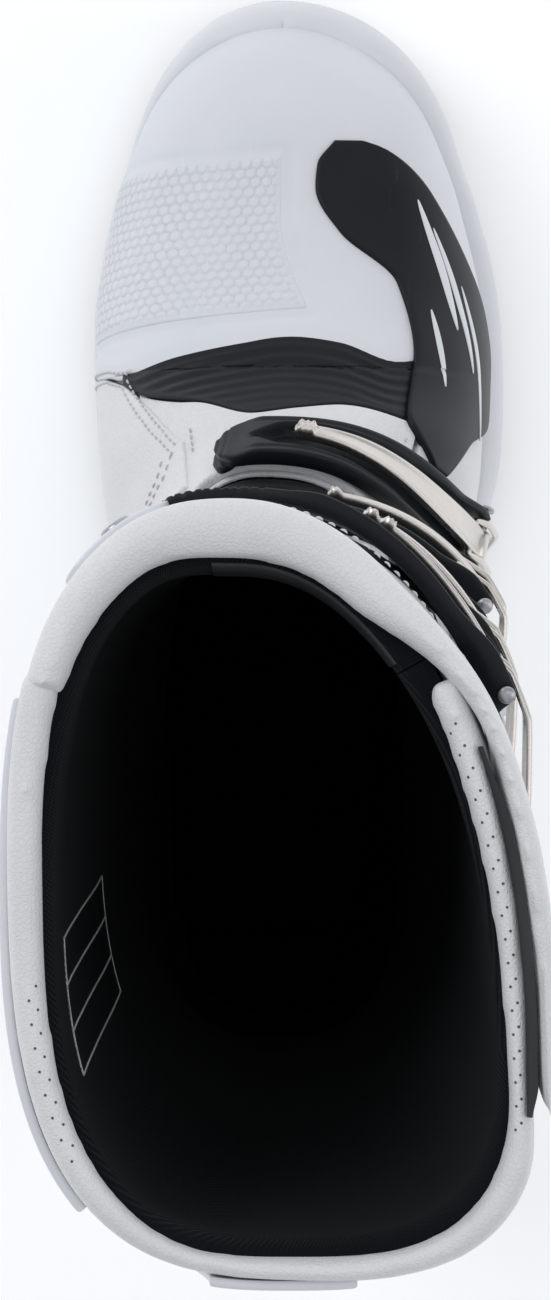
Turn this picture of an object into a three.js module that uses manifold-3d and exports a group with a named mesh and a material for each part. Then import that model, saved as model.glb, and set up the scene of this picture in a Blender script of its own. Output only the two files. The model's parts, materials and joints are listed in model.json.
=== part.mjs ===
// Off-road motorcycle boot for the right foot, closed, standing on its sole.
// Millimetres. X points to the outer (lateral) side, Y to the toe, Z up.
// The origin is the middle of the footprint, on the ground.
import * as THREE from "three";
import { mergeVertices } from "three/addons/utils/BufferGeometryUtils.js";
import Module from "manifold-3d";

const wasm = await Module();
wasm.setup();

// ---- driving dimensions -------------------------------------------------
const SOLE_LENGTH = 312;
const SOLE_HALF_WIDTH_SCALE = 1;
const OUTSOLE_HEIGHT = 9;
const ARCH_HEIGHT = 4;
const SHELL_EDGE_Z = 17;
const CUFF_TOP = 375;
const GAP = 0.6;
const UPPER_WALL = 1.3;
const LINING_WALL = 4.4;
const SHELL_WALL = 2.4;
const PANEL_WALL = 1.1;
const FLAP_MEDIAL = 149;
const FLAP_LATERAL = 45;
const FLAP_LIFT = 18;
const STRAP_WALL = 2;
const STRAP_HALF_WIDTH = 11;
const LEVER_HALF_WIDTH = 4;
const LEVER_WALL = 2.2;
const PIN_RADIUS = 1.2;
const WIRE_RADIUS = 0.9;
const BORE_CLEARANCE = 0.3;
const PIVOT_SCREW_RADIUS = 3;
const PIVOT_BUSH_RADIUS = 6;
const SHELL_LOW = GAP;
const SHELL_HIGH = GAP + SHELL_WALL;

// Y and Z of the ankle pivot, and of the line that the ankle sections fan about.
const TOE_Y = 184;
const PIVOT = { y: -48, z: 115 };
const FAN = { y: 75, z: 200 };
const FAN_START = TOE_Y - FAN.y;
const FAN_SPAN = 110;
const FAN_END = FAN_START + FAN_SPAN;
const SKIN_FLOOR = 13.5;
const COLLAR_BOTTOM = 338 - FAN.z + FAN_END;
const COLLAR_TOP = CUFF_TOP - FAN.z + FAN_END;
const LINING_TOP = COLLAR_TOP - 13;
const NOSE_WIDTH_LENGTH = 58;
const NOSE_HEIGHT_LENGTH = 46;
const NOSE_Z = 42;
const NOSE_SETBACK = 8;

// ---- materials ----------------------------------------------------------
function finish(color, roughness, metalness = 0) {
  return { color, roughness, metalness };
}
const WHITE_SHELL = finish(0xe2e6ec, 0.38);
const WHITE_LEATHER = finish(0xe6e7ea, 0.55);
const BLACK_SHELL = finish(0x1a1e23, 0.42);
const BLACK_RUBBER = finish(0x17191c, 0.8);
const BLACK_MESH = finish(0x0c1216, 0.95);
const BRIGHT_METAL = finish(0xb9b4ab, 0.28, 1);
const STEEL = finish(0x9a9da1, 0.4, 1);
const BOARD = finish(0x6b6258, 0.9);

const foot = new THREE.Group();
const cuff = new THREE.Group();
const flap = new THREE.Group();

function add(group, name, geometry, look) {
  const mesh = new THREE.Mesh(geometry, new THREE.MeshStandardMaterial(look));
  mesh.name = name;
  group.add(mesh);
}

// ---- curves -------------------------------------------------------------
// Smooth curve through [x, y] knots that never overshoots them.
function curve(knots) {
  const last = knots.length - 1;
  const slopes = knots.slice(1).map(([x, y], i) => (y - knots[i][1]) / (x - knots[i][0]));
  const tangents = knots.map((_, i) => {
    if (i === 0 || i === last) return slopes[Math.min(i, last - 1)];
    const [before, after] = [slopes[i - 1], slopes[i]];
    return before * after <= 0 ? 0 : (2 * before * after) / (before + after);
  });
  return (value) => {
    const x = Math.min(Math.max(value, knots[0][0]), knots[last][0]);
    let i = 0;
    while (i < last - 1 && x > knots[i + 1][0]) i += 1;
    const span = knots[i + 1][0] - knots[i][0];
    const t = (x - knots[i][0]) / span;
    const low = knots[i][1] * (1 + 2 * t) * (1 - t) ** 2;
    const high = knots[i + 1][1] * t * t * (3 - 2 * t);
    const bend = tangents[i] * t * (1 - t) ** 2 + tangents[i + 1] * t * t * (t - 1);
    return low + high + span * bend;
  };
}

const clamp = THREE.MathUtils.clamp;
const lerp = THREE.MathUtils.lerp;
const radians = THREE.MathUtils.degToRad;
const smoothstep = (x, low, high) => THREE.MathUtils.smoothstep(x, low, high);

// ---- the boot's master surface ------------------------------------------
// u runs from the toe (0) over the instep and up the shin; the sections are upright
// across the foot, turn about the FAN line round the ankle, and lie flat up the leg.
// theta goes round a section: 0 lateral, 90 front, 180 medial, 270 sole or calf.
const crestHeight = curve([[0, 70], [34, 76], [64, 84], [84, 93], [109, 111]]);
const shinReach = curve([[0, 88.5], [13, 68], [27, 54.5], [40, 47], [60, 44], [90, 44]]);
const heelReach = curve([
  [0, 186.5], [10, 189.3], [20, 198.2], [28, 210], [34, 221.5], [40, 236], [44, 244.5], [48, 248], [52, 245],
  [57, 234], [62, 220], [68, 206], [75, 192], [82, 185.5], [90, 185],
]);
const shinY = curve([[200, 31], [230, 28.5], [270, 27.5], [320, 29], [372, 34]]);
const calfY = curve([[200, -110], [230, -117], [270, -128], [310, -137], [345, -142], [372, -143]]);
const lateralHalf = curve([
  [0, 34], [18, 37.8], [43, 41.4], [60, 45.5], [85, 50.7], [102, 52], [120, 50.5], [133, 46], [158, 40],
  [182, 40], [201, 45], [219, 51], [269, 52], [319, 55], [387, 58],
]);
const medialHalf = curve([
  [0, 34], [18, 37.8], [43, 41.4], [60, 45.5], [85, 50.7], [102, 52], [120, 50.5], [133, 46], [158, 40],
  [182, 39], [201, 43], [219, 46], [269, 50], [319, 55], [387, 59],
]);
const middleX = curve([[0, 2], [26, 3], [69, 3.7], [119, 4.5], [158, 2], [182, 0]]);
const lateralWaist = curve([
  [0, 0.62], [109, 0.68], [133, 0.7], [158, 0.68], [170, 0.6], [182, 0.5], [201, 0.44], [219, 0.4],
  [269, 0.5],
  [319, 0.62], [387, 0.73],
]);
const medialWaist = curve([
  [0, 0.62], [109, 0.68], [133, 0.7], [158, 0.68], [182, 0.5], [201, 0.46], [387, 0.49],
]);
const crestX = curve([[0, 0], [60, -3], [109, -6], [150, -6], [219, -4], [387, -10]]);
const calfX = curve([[219, 0], [387, 3]]);
const lateralFullness = curve([[0, 2.1], [60, 2.5], [150, 2.4], [219, 2.7], [269, 2.4], [387, 2.05]]);
const medialFullness = curve([[0, 2.1], [60, 2.5], [150, 2.3], [219, 2.4], [387, 2.5]]);
const soleFullness = curve([[0, 3.5], [109, 4], [150, 3.4], [182, 2.6], [219, 2.4], [387, 2.8]]);

// Quarter-circle rounding of the toe over the first `length` of the surface.
function nose(u, length) {
  const t = clamp(u / length, 0, 1);
  return Math.sqrt(1 - (1 - t) ** 2);
}

// Front and back points of section u, in the middle plane of the boot.
function sectionEnds(u) {
  if (u < FAN_START) {
    const rise = nose(u, NOSE_HEIGHT_LENGTH);
    const y = TOE_Y - u - NOSE_SETBACK * (1 - clamp(u / NOSE_HEIGHT_LENGTH, 0, 1)) ** 2;
    const top = NOSE_Z + (crestHeight(u) - NOSE_Z) * rise;
    const bottom = NOSE_Z - (NOSE_Z - SKIN_FLOOR) * rise;
    return { near: { y, z: top }, far: { y, z: bottom } };
  }
  if (u > FAN_END) {
    const z = FAN.z + (u - FAN_END);
    return { near: { y: shinY(z), z }, far: { y: calfY(z), z } };
  }
  const turn = ((u - FAN_START) / FAN_SPAN) * 90;
  const [sin, cos] = [Math.sin(radians(turn)), Math.cos(radians(turn))];
  const at = (reach) => ({ y: FAN.y - reach * sin, z: FAN.z - reach * cos });
  return { near: at(shinReach(turn)), far: at(heelReach(turn)) };
}

// Point of the master surface: each quarter of a section is a superellipse.
function skinPoint(u, theta) {
  const { near, far } = sectionEnds(u);
  const [c, s] = [Math.cos(radians(theta)), Math.sin(radians(theta))];
  const lateral = c >= 0;
  const front = s >= 0;
  const frontPower = lateral ? lateralFullness(u) : medialFullness(u);
  const power = front ? frontPower : soleFullness(u);
  const size = (Math.abs(c) ** power + Math.abs(s) ** power) ** (-1 / power);
  const across = Math.abs(c) * size;
  const along = Math.abs(s) * size;
  const waist = lateral ? lateralWaist(u) : medialWaist(u);
  const end = front ? near : far;
  const width = (lateral ? lateralHalf(u) : -medialHalf(u)) * nose(u, NOSE_WIDTH_LENGTH);
  const tipX = front ? crestX(u) : calfX(u);
  const wide = (axis) => lerp(near[axis], far[axis], waist);
  return new THREE.Vector3(
    middleX(u) + tipX + (width - tipX) * across,
    lerp(wide("y"), end.y, along),
    lerp(wide("z"), end.z, along),
  );
}

function skinTangents(u, theta) {
  const step = 0.3;
  const back = Math.max(u - step, 0.02);
  const alongU = skinPoint(u + step, theta).sub(skinPoint(back, theta)).divideScalar(u + step - back);
  const alongTheta = skinPoint(u, theta + step).sub(skinPoint(u, theta - step)).divideScalar(2 * step);
  return { alongU, alongTheta };
}

function skinNormal(u, theta) {
  if (u < 0.05) return new THREE.Vector3(0, 1, 0);
  const { alongU, alongTheta } = skinTangents(u, theta);
  return alongTheta.cross(alongU).normalize();
}

// Point `height` outside the master surface.
function over(u, theta, height) {
  return skinPoint(u, theta).addScaledVector(skinNormal(u, theta), height);
}

// ---- solids -------------------------------------------------------------
// Closed solid between two grids of points: place(s, t, top) with s and t from 0 to 1.
// s goes round the boot and t along it; a wrapped solid joins its ends in s.
function slab(countS, countT, place, wrap = false) {
  const points = [];
  const faces = [];
  const columns = wrap ? countS : countS + 1;
  const index = (i, j, top) => ((i % columns) * (countT + 1) + j) * 2 + top;
  for (let i = 0; i < columns; i += 1) {
    for (let j = 0; j <= countT; j += 1) {
      points.push(place(i / countS, j / countT, 0), place(i / countS, j / countT, 1));
    }
  }
  const quad = (a, b, c, d) => faces.push([a, b, c], [a, c, d]);
  for (let i = 0; i < countS; i += 1) {
    for (let j = 0; j < countT; j += 1) {
      quad(index(i, j, 1), index(i + 1, j, 1), index(i + 1, j + 1, 1), index(i, j + 1, 1));
      quad(index(i, j, 0), index(i, j + 1, 0), index(i + 1, j + 1, 0), index(i + 1, j, 0));
    }
    quad(index(i, 0, 0), index(i + 1, 0, 0), index(i + 1, 0, 1), index(i, 0, 1));
    quad(index(i + 1, countT, 0), index(i, countT, 0), index(i, countT, 1), index(i + 1, countT, 1));
  }
  if (!wrap) {
    for (let j = 0; j < countT; j += 1) {
      quad(index(0, j + 1, 0), index(0, j, 0), index(0, j, 1), index(0, j + 1, 1));
      quad(index(countS, j, 0), index(countS, j + 1, 0), index(countS, j + 1, 1), index(countS, j, 1));
    }
  }
  return closedGeometry(points, faces);
}

// Merges equal points and leaves out the triangles that shrink to a line there.
function closedGeometry(points, faces) {
  const raw = new THREE.BufferGeometry();
  raw.setAttribute("position", new THREE.Float32BufferAttribute(points.flatMap((p) => p.toArray()), 3));
  raw.setIndex(faces.flat());
  const merged = mergeVertices(raw, 1e-3);
  const kept = [];
  for (let i = 0; i < merged.index.count; i += 3) {
    const [a, b, c] = [0, 1, 2].map((k) => merged.index.getX(i + k));
    if (a !== b && b !== c && c !== a) kept.push(a, b, c);
  }
  merged.setIndex(kept);
  merged.computeVertexNormals();
  return merged;
}

const valueAt = (limit, x) => (typeof limit === "function" ? limit(x) : limit);

// All solids on the master surface share these grid lines, so stacked layers keep their gap.
const U_LINES = [
  0, 1.5, 5, 10, 17, 26, 38, 52, 68, 84, 100, 112, 124, 136, 148, 156, 163, 169, 175, 182, 191, 203,
  218, 238, 260, 283, 306, 330, COLLAR_BOTTOM, LINING_TOP - 3, LINING_TOP + 1, LINING_TOP + 2.8,
  COLLAR_TOP - 6, COLLAR_TOP - 3,
];
const THETA_LINES = Array.from({ length: 53 }, (_, i) => i * 15 - 180);

// The grid lines inside a range, with the ends of the range; `fine` halves each step.
function linesBetween(lines, from, to, fine = false) {
  const inside = lines.filter((x) => x > from && x < to);
  const all = [from, ...inside, to];
  return fine ? all.flatMap((x, i) => (i ? [(all[i - 1] + x) / 2, x] : [x])) : all;
}

function rangeOf(limits, lines) {
  const ends = limits.map((limit) => (typeof limit === "function" ? lines.map(limit) : [limit]));
  return [Math.min(...ends[0]), Math.max(...ends[1])];
}

// Panel on the master surface, from u[0] to u[1] and theta[0] to theta[1]. Either pair
// may be functions of the other coordinate. Grid points past a limit slide back onto it.
function panel({ u, theta, low, high, fine = false }) {
  const byTheta = theta.every((limit) => typeof limit === "number");
  const thetaRange = byTheta ? theta : rangeOf(theta, linesBetween(U_LINES, u[0], u[1]));
  const thetas = linesBetween(THETA_LINES, ...thetaRange, fine && byTheta);
  const uRange = byTheta ? rangeOf(u, thetas) : u;
  const us = linesBetween(U_LINES, ...uRange, fine && !byTheta);
  return slab(thetas.length - 1, us.length - 1, (s, t, top) => {
    const q = thetas[Math.round(s * (thetas.length - 1))];
    const v = us[Math.round(t * (us.length - 1))];
    const atTheta = byTheta ? q : clamp(q, valueAt(theta[0], v), valueAt(theta[1], v));
    const atU = byTheta ? clamp(v, valueAt(u[0], q), valueAt(u[1], q)) : v;
    const height = top ? high : low;
    return over(atU, atTheta, typeof height === "function" ? height(atU, atTheta) : height);
  });
}

// Sleeve that goes all the way round the boot.
function sleeve({ u, low, high }) {
  const columns = 24;
  const round = THETA_LINES.filter((q) => q >= 0 && q < 360);
  const us = linesBetween(U_LINES, ...rangeOf(u, round));
  return slab(columns, us.length - 1, (s, t, top) => {
    const theta = s * 360;
    const v = us[Math.round(t * (us.length - 1))];
    return over(clamp(v, valueAt(u[0], theta), valueAt(u[1], theta)), theta, top ? high : low);
  }, true);
}

function toSolid(geometry) {
  const bare = geometry.clone();
  for (const name of ["normal", "uv"]) bare.deleteAttribute(name);
  const merged = mergeVertices(bare, 1e-3);
  return new wasm.Manifold(new wasm.Mesh({
    numProp: 3,
    vertProperties: merged.attributes.position.array,
    triVerts: new Uint32Array(merged.index.array),
  }));
}

function toGeometry(solid) {
  const mesh = solid.getMesh();
  const geometry = new THREE.BufferGeometry();
  geometry.setAttribute("position", new THREE.BufferAttribute(mesh.vertProperties, 3));
  geometry.setIndex(new THREE.BufferAttribute(mesh.triVerts, 1));
  geometry.computeVertexNormals();
  return geometry;
}

const union = (parts) => toGeometry(parts.map(toSolid).reduce((a, b) => a.add(b)));
const cut = (body, tools) => toGeometry(tools.map(toSolid).reduce((a, b) => a.subtract(b), toSolid(body)));
const common = (a, b) => toGeometry(toSolid(a).intersect(toSolid(b)));

// Solid filling the boot from the toe to section `uEnd`, `height` outside the surface.
function plug(uEnd, height) {
  const us = linesBetween(U_LINES, 0, uEnd);
  return slab(24, us.length - 1, (s, t, top) => {
    const u = us[Math.round(t * (us.length - 1))];
    const { near, far } = sectionEnds(u);
    const middle = new THREE.Vector3(middleX(u), (near.y + far.y) / 2, (near.z + far.z) / 2);
    return top ? over(u, s * 360, height) : middle;
  }, true);
}

function box(x, y, z) {
  const geometry = new THREE.BoxGeometry(x[1] - x[0], y[1] - y[0], z[1] - z[0]);
  return geometry.translate((x[0] + x[1]) / 2, (y[0] + y[1]) / 2, (z[0] + z[1]) / 2);
}

// Cylinder of radius r along the unit vector `axis`, from `from` to `to` measured from `centre`.
function rod(centre, axis, from, to, radius, sides = 12) {
  const geometry = new THREE.CylinderGeometry(radius, radius, to - from, sides);
  const turn = new THREE.Quaternion().setFromUnitVectors(new THREE.Vector3(0, 1, 0), axis);
  const middle = centre.clone().addScaledVector(axis, (from + to) / 2);
  return geometry.applyQuaternion(turn).translate(middle.x, middle.y, middle.z);
}

// ---- sole ---------------------------------------------------------------
const lateralSole = curve([
  [0, 54], [42, 52.5], [59, 56], [76, 60.5], [93, 62.8], [110, 63.4], [128, 62.8], [145, 59.5], [170, 51],
  [200, 46], [250, 46], [312, 44],
]);
const medialSole = curve([
  [0, 48], [16, 45.5], [42, 45], [59, 48.5], [76, 52], [93, 54], [128, 52.5], [145, 50.5], [170, 46.5],
  [200, 44], [250, 44], [312, 43],
]);
const rimHeight = curve([[-130, 44], [-80, 38], [0, 30], [100, 32], [141, 41], [168, 56], [184, 62]]);
const SOLE_TOE_LENGTH = 60;
const SOLE_HEEL_LENGTH = 44;

// Half width of the sole at distance d from the toe tip.
function soleHalf(d, half) {
  const heel = nose(SOLE_LENGTH - d, SOLE_HEEL_LENGTH);
  return half(d) * SOLE_HALF_WIDTH_SCALE * nose(d, SOLE_TOE_LENGTH) * heel;
}

function soleShape(steps, inset) {
  const points = [];
  const side = (half, sign, i) => {
    const d = (SOLE_LENGTH / 2) * (1 - Math.cos((Math.PI * i) / steps));
    const end = TOE_Y + 0.7 - SOLE_LENGTH / 2;
    const y = end + (SOLE_LENGTH / 2 - d) * (1 - (2 * inset) / SOLE_LENGTH);
    points.push(new THREE.Vector2(2 + sign * Math.max(soleHalf(d, half) - inset, 0), y));
  };
  for (let i = 0; i <= steps; i += 1) side(medialSole, -1, i);
  for (let i = steps - 1; i > 0; i -= 1) side(lateralSole, 1, i);
  return new THREE.Shape(points);
}

function soleBlock(bottom, top, inset, steps = 18) {
  const upright = { depth: top - bottom, bevelEnabled: false };
  const block = new THREE.ExtrudeGeometry(soleShape(steps, inset), upright);
  return block.translate(0, 0, bottom);
}

function makeSole() {
  const arch = box([-80, 80], [-62, 8], [-1, ARCH_HEIGHT]);
  add(foot, "outsole", cut(soleBlock(0, OUTSOLE_HEIGHT, 1.5), [arch]), BLACK_RUBBER);
  const bottom = OUTSOLE_HEIGHT + 0.3;
  const cup = soleBlock(bottom, bottom + 60, 0);
  const position = cup.attributes.position;
  for (let i = 0; i < position.count; i += 1) {
    if (position.getZ(i) > bottom + 1) position.setZ(i, rimHeight(position.getY(i)));
  }
  const shankBottom = bottom + 1.2;
  const shankSlot = box([-9.4, 13.4], [-92, 45], [shankBottom - 0.3, 40]);
  const upperSpace = plug(208, 0.4);
  const aboveFloor = box([-90, 90], [-200, 200], [SHELL_EDGE_Z, 200]);
  const shellSpace = common(plug(208, SHELL_HIGH + 0.5), aboveFloor);
  add(foot, "midsole", cut(cup, [upperSpace, shellSpace, shankSlot]), WHITE_SHELL);
  add(foot, "shank", box([-9, 13], [-91.6, 44.6], [shankBottom, SKIN_FLOOR - 0.9]), STEEL);
}

function makeFootbed() {
  const inside = plug(208, -UPPER_WALL - LINING_WALL - 1.1);
  const floor = SKIN_FLOOR + LINING_WALL + UPPER_WALL + 1.3;
  const slice = (low, high) => common(inside, box([-90, 90], [-160, 200], [low, high]));
  add(foot, "insole_board", slice(floor, floor + 2.2), BOARD);
  add(foot, "footbed", slice(floor + 2.6, floor + 7), BLACK_MESH);
}

// ---- foot upper ---------------------------------------------------------
const INNER_TOP = -UPPER_WALL - 0.5;
const TRIM_LOW = SHELL_HIGH + 0.9;
const TRIM_HIGH = TRIM_LOW + PANEL_WALL;
const OUTER_LOW = SHELL_HIGH + 0.4;

// The ankle gap: the foot part ends before it and the cuff part starts after it.
const footEdge = (theta) => 173.5 - 22.5 * Math.sin(radians(theta));
const cuffEdge = (theta) => {
  const s = Math.sin(radians(theta));
  return 181 + (s > 0 ? 17 : 22) * s * s;
};

// Lower edge of the front flap, which leaves room for the instep strap to lift.
const flapEdge = (theta) => cuffEdge(theta) + FLAP_LIFT * Math.sin(radians(theta)) ** 2;

function makeFootUpper() {
  const inner = { low: INNER_TOP - LINING_WALL, high: INNER_TOP };
  add(foot, "lower_lining", sleeve({ u: [2, (q) => footEdge(q) - 1], ...inner }), BLACK_MESH);
  add(foot, "lower_upper", sleeve({ u: [0, footEdge], low: -UPPER_WALL, high: 0 }), WHITE_LEATHER);
}

function makeFootPanels() {
  const shell = { low: SHELL_LOW, high: SHELL_HIGH };
  const trim = { low: TRIM_LOW, high: TRIM_HIGH };
  const toeShell = panel({ u: [0, 100], theta: [-26, 206], ...shell });
  add(foot, "toe_shell", common(toeShell, box([-90, 90], [-200, 200], [SHELL_EDGE_Z + 1, 200])), WHITE_SHELL);
  add(foot, "shift_pad", panel({
    u: [(q) => lerp(47, 52, (q - 90) / 75), (q) => lerp(92, 99, (q - 80) / 90)],
    theta: [86, 166], ...trim
  }), WHITE_SHELL);
  const outer = curve([
    [43, 64], [46, 53], [53, 43], [63, 35], [78, 25], [91, 14], [104, 8], [113, 8], [121, 30], [130, 38],
  ]);
  const innerEdge = curve([
    [43, 70], [50, 77], [57, 78], [70, 71], [84, 56], [103, 52], [120, 54], [130, 42],
  ]);
  add(foot, "toe_side_panel", panel({ u: [43.5, 129.5], theta: [outer, innerEdge], ...trim }), BLACK_SHELL);
  add(foot, "flex_panel", panel({
    u: [101, (q) => 119.5 - 0.004 * (q - 90) ** 2], theta: [50, 119], ...shell
  }), BLACK_SHELL);
  add(foot, "instep_tongue", panel({
    u: [(q) => 121 - 0.004 * (q - 90) ** 2, (q) => footEdge(q) - 1], theta: [50, 119], ...shell
  }), WHITE_LEATHER);
  add(foot, "quarter_panel_medial", panel({
    u: [(q) => lerp(123, 101.5, clamp((q - 120) / 24, 0, 1)), 147], theta: [120.5, 202], ...shell
  }), WHITE_LEATHER);
  add(foot, "quarter_panel_lateral", panel({ u: [101.5, 147], theta: [-22, 48.5], ...shell }), WHITE_LEATHER);
}

// ---- ankle pivots -------------------------------------------------------
const ARM_LOW = SHELL_LOW + 0.3;
const ARM_HIGH = SHELL_HIGH;
const TAB_LOW = ARM_HIGH + 0.8;
const TAB_HIGH = TAB_LOW + SHELL_WALL;
const PIVOT_U = 177.5;
const TAB_DROP = 6;
const TAB_HALF_DEGREES = 12;
const pivotPoint = (x) => new THREE.Vector3(x, PIVOT.y, PIVOT.z);
const PIVOT_SIDES = { lateral: 1, medial: -1 };
const sideX = (sign) => skinPoint(PIVOT_U, sign > 0 ? 0 : 180).x;

// Round pivot hole through both the heel arm and the cuff tab.
function pivotHole(sign, radius) {
  const axis = new THREE.Vector3(sign, 0, 0);
  return rod(pivotPoint(sideX(sign)), axis, -4, TAB_HIGH + 6, radius, 20);
}

// Heel counter that wraps the heel and rises to an arm at each ankle pivot.
function makeHeelShell() {
  const armRise = (q) => Math.max(0, 1 - ((((q + 540) % 360) - 180 - 1) / 15) ** 2);
  const otherRise = (q) => Math.max(0, 1 - ((q - 179) / 15) ** 2);
  const topEdge = (q) => footEdge(q) - 1 + 13 * Math.max(armRise(q), otherRise(q));
  const shell = panel({ u: [148, topEdge], theta: [164, 376], low: ARM_LOW, high: ARM_HIGH });
  const holes = [1, -1].map((sign) => pivotHole(sign, PIVOT_BUSH_RADIUS + BORE_CLEARANCE));
  const aboveSole = box([-90, 90], [-200, 200], [SHELL_EDGE_Z + 1, 200]);
  add(foot, "heel_shell", cut(common(shell, aboveSole), holes), WHITE_SHELL);
}

function makePivot(side) {
  const sign = PIVOT_SIDES[side];
  const axis = new THREE.Vector3(sign, 0, 0);
  const seat = pivotPoint(sideX(sign));
  const bush = rod(seat, axis, ARM_LOW, TAB_HIGH + 0.4, PIVOT_BUSH_RADIUS, 20);
  const bore = rod(seat, axis, -1, TAB_HIGH + 4, PIVOT_SCREW_RADIUS + BORE_CLEARANCE);
  add(foot, `pivot_bush_${side}`, cut(bush, [bore]), BLACK_SHELL);
  const head = rod(seat, axis, TAB_HIGH + 0.7, TAB_HIGH + 2.8, PIVOT_BUSH_RADIUS + 2, 20);
  const shaft = rod(seat, axis, ARM_LOW + 0.2, TAB_HIGH + 1, PIVOT_SCREW_RADIUS);
  const socket = rod(seat, axis, TAB_HIGH + 1.6, TAB_HIGH + 6, 2.6, 6);
  add(foot, `pivot_screw_${side}`, cut(union([head, shaft]), [socket]), STEEL);
}

// ---- cuff ---------------------------------------------------------------
const COLLAR_ROLL = 7;
const REAR_START = FLAP_MEDIAL + 1.5;
const REAR_END = 360 + FLAP_LATERAL - 1.5;

// Outer face of the rear collar, which slims down where the front collar laps over it.
const rearCollarFace = (theta) => lerp(SHELL_HIGH, GAP * 2, smoothstep(theta, 330, 345));

function collarInner(u, bottom) {
  return u > LINING_TOP + 2 ? -COLLAR_ROLL : bottom;
}

// Rounded top edge of a padded collar.
function collarRound(u, face) {
  const t = clamp((u - (COLLAR_TOP - 6)) / 6, 0, 1);
  return lerp(face, face - 3.5, t * t);
}

function makeCuffSoft() {
  const inner = { low: INNER_TOP - LINING_WALL, high: INNER_TOP };
  const rear = [REAR_START, REAR_END];
  const bottom = (q) => cuffEdge(q) + 1;
  add(cuff, "cuff_lining", panel({ u: [bottom, LINING_TOP], theta: rear, ...inner }), BLACK_MESH);
  add(cuff, "cuff_upper", panel({
    u: [cuffEdge, COLLAR_BOTTOM - 1], theta: rear, low: -UPPER_WALL, high: 0
  }), WHITE_LEATHER);
  add(cuff, "collar_pad_rear", panel({
    u: [COLLAR_BOTTOM, COLLAR_TOP - 2], theta: rear,
    low: (u) => collarInner(u, -UPPER_WALL),
    high: (u, q) => collarRound(u, rearCollarFace(q))
  }), WHITE_LEATHER);
}

// Outer plates of the cuff. The side plates narrow to a tab at the ankle pivot.
function makeCuffShells() {
  const tabHeight = (u, low, high) => lerp(high, low, smoothstep(u, 188, 204));
  const round = (u) => TAB_HALF_DEGREES * Math.sqrt(1 - clamp((PIVOT_U - u) / TAB_DROP, 0, 1) ** 2);
  const sidePlate = (centre, from, to, top, lowHeight) => panel({
    u: [PIVOT_U - TAB_DROP, top],
    theta: [
      (u) => lerp(centre - round(u), from, smoothstep(u, 184, 214)),
      (u) => lerp(centre + round(u), to, smoothstep(u, 184, 214)),
    ],
    fine: true,
    low: (u) => tabHeight(u, lowHeight, TAB_LOW),
    high: (u) => tabHeight(u, lowHeight + SHELL_WALL, TAB_HIGH)
  });
  const hole = (sign) => pivotHole(sign, PIVOT_BUSH_RADIUS + BORE_CLEARANCE);
  const lateral = sidePlate(0, -52, 36, COLLAR_BOTTOM - 3, SHELL_LOW + 0.2);
  add(cuff, "lateral_calf_plate", cut(lateral, [hole(1)]), WHITE_SHELL);
  const medial = sidePlate(180, 153, 229, COLLAR_TOP - 14, OUTER_LOW);
  add(cuff, "medial_calf_plate", cut(medial, [hole(-1)]), WHITE_SHELL);
  add(cuff, "calf_shell", panel({
    u: [207, COLLAR_TOP - 8],
    theta: [(u) => lerp(231, 254, smoothstep(u, 300, 385)), (u) => lerp(305, 286, smoothstep(u, 300, 385))],
    low: OUTER_LOW, high: OUTER_LOW + SHELL_WALL
  }), WHITE_SHELL);
  add(cuff, "burn_guard", panel({
    u: [232, 330], theta: [168, 212], low: OUTER_LOW + SHELL_WALL + 0.4, high: OUTER_LOW + SHELL_WALL + 1.8
  }), BLACK_RUBBER);
}

// Soft folds that close the ankle gap in front and behind.
function makeBellows() {
  const fold = (u) => 0.8 * Math.cos(u * 0.7);
  const soft = (u0, u1, theta) => panel({
    u: [u0, u1], theta, low: (u) => fold(u) - 4.2, high: (u) => fold(u) - 2.7,
  });
  const underFlap = (q) => q > FLAP_LATERAL + 2 && q < FLAP_MEDIAL - 2;
  const upperEdge = (q) => (underFlap(q) ? flapEdge(q) : cuffEdge(q));
  const shrink = (from, to) => [(q) => footEdge(q) + from, (q) => upperEdge(q) + to];
  add(foot, "front_bellows", soft(...shrink(0.2, -0.8), [2, 178]), BLACK_RUBBER);
  add(foot, "rear_bellows", soft(...shrink(0.2, -0.8), [182, 358]), BLACK_RUBBER);
}

// ---- front flap ---------------------------------------------------------
const FRONT_COLLAR_WALL = 3.2;
const frontCollarLow = (q) => rearCollarFace(q + 360) + 0.7;

function makeFlap() {
  const inner = { low: INNER_TOP - LINING_WALL, high: INNER_TOP };
  const front = [FLAP_LATERAL, FLAP_MEDIAL];
  const bottom = (q) => flapEdge(q) + 1;
  const linerBottom = (q) => bottom(q) + 1;
  add(flap, "flap_liner", panel({ u: [linerBottom, LINING_TOP], theta: front, ...inner }), BLACK_MESH);
  add(flap, "shin_plate", panel({
    u: [bottom, COLLAR_BOTTOM - 1], theta: front, low: -UPPER_WALL, high: SHELL_HIGH
  }), WHITE_SHELL);
  const wrapped = (q) => smoothstep(q, FLAP_LATERAL, FLAP_LATERAL + 15);
  add(flap, "collar_pad_front", panel({
    u: [COLLAR_BOTTOM, COLLAR_TOP], theta: [-15, FLAP_MEDIAL],
    low: (u, q) => lerp(frontCollarLow(q), collarInner(u, -UPPER_WALL), wrapped(q)),
    high: (u, q) => collarRound(u, lerp(frontCollarLow(q) + FRONT_COLLAR_WALL, SHELL_HIGH, wrapped(q)))
  }), WHITE_LEATHER);
}

const FRAME_HIGH = SHELL_HIGH + 2.3;

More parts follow.
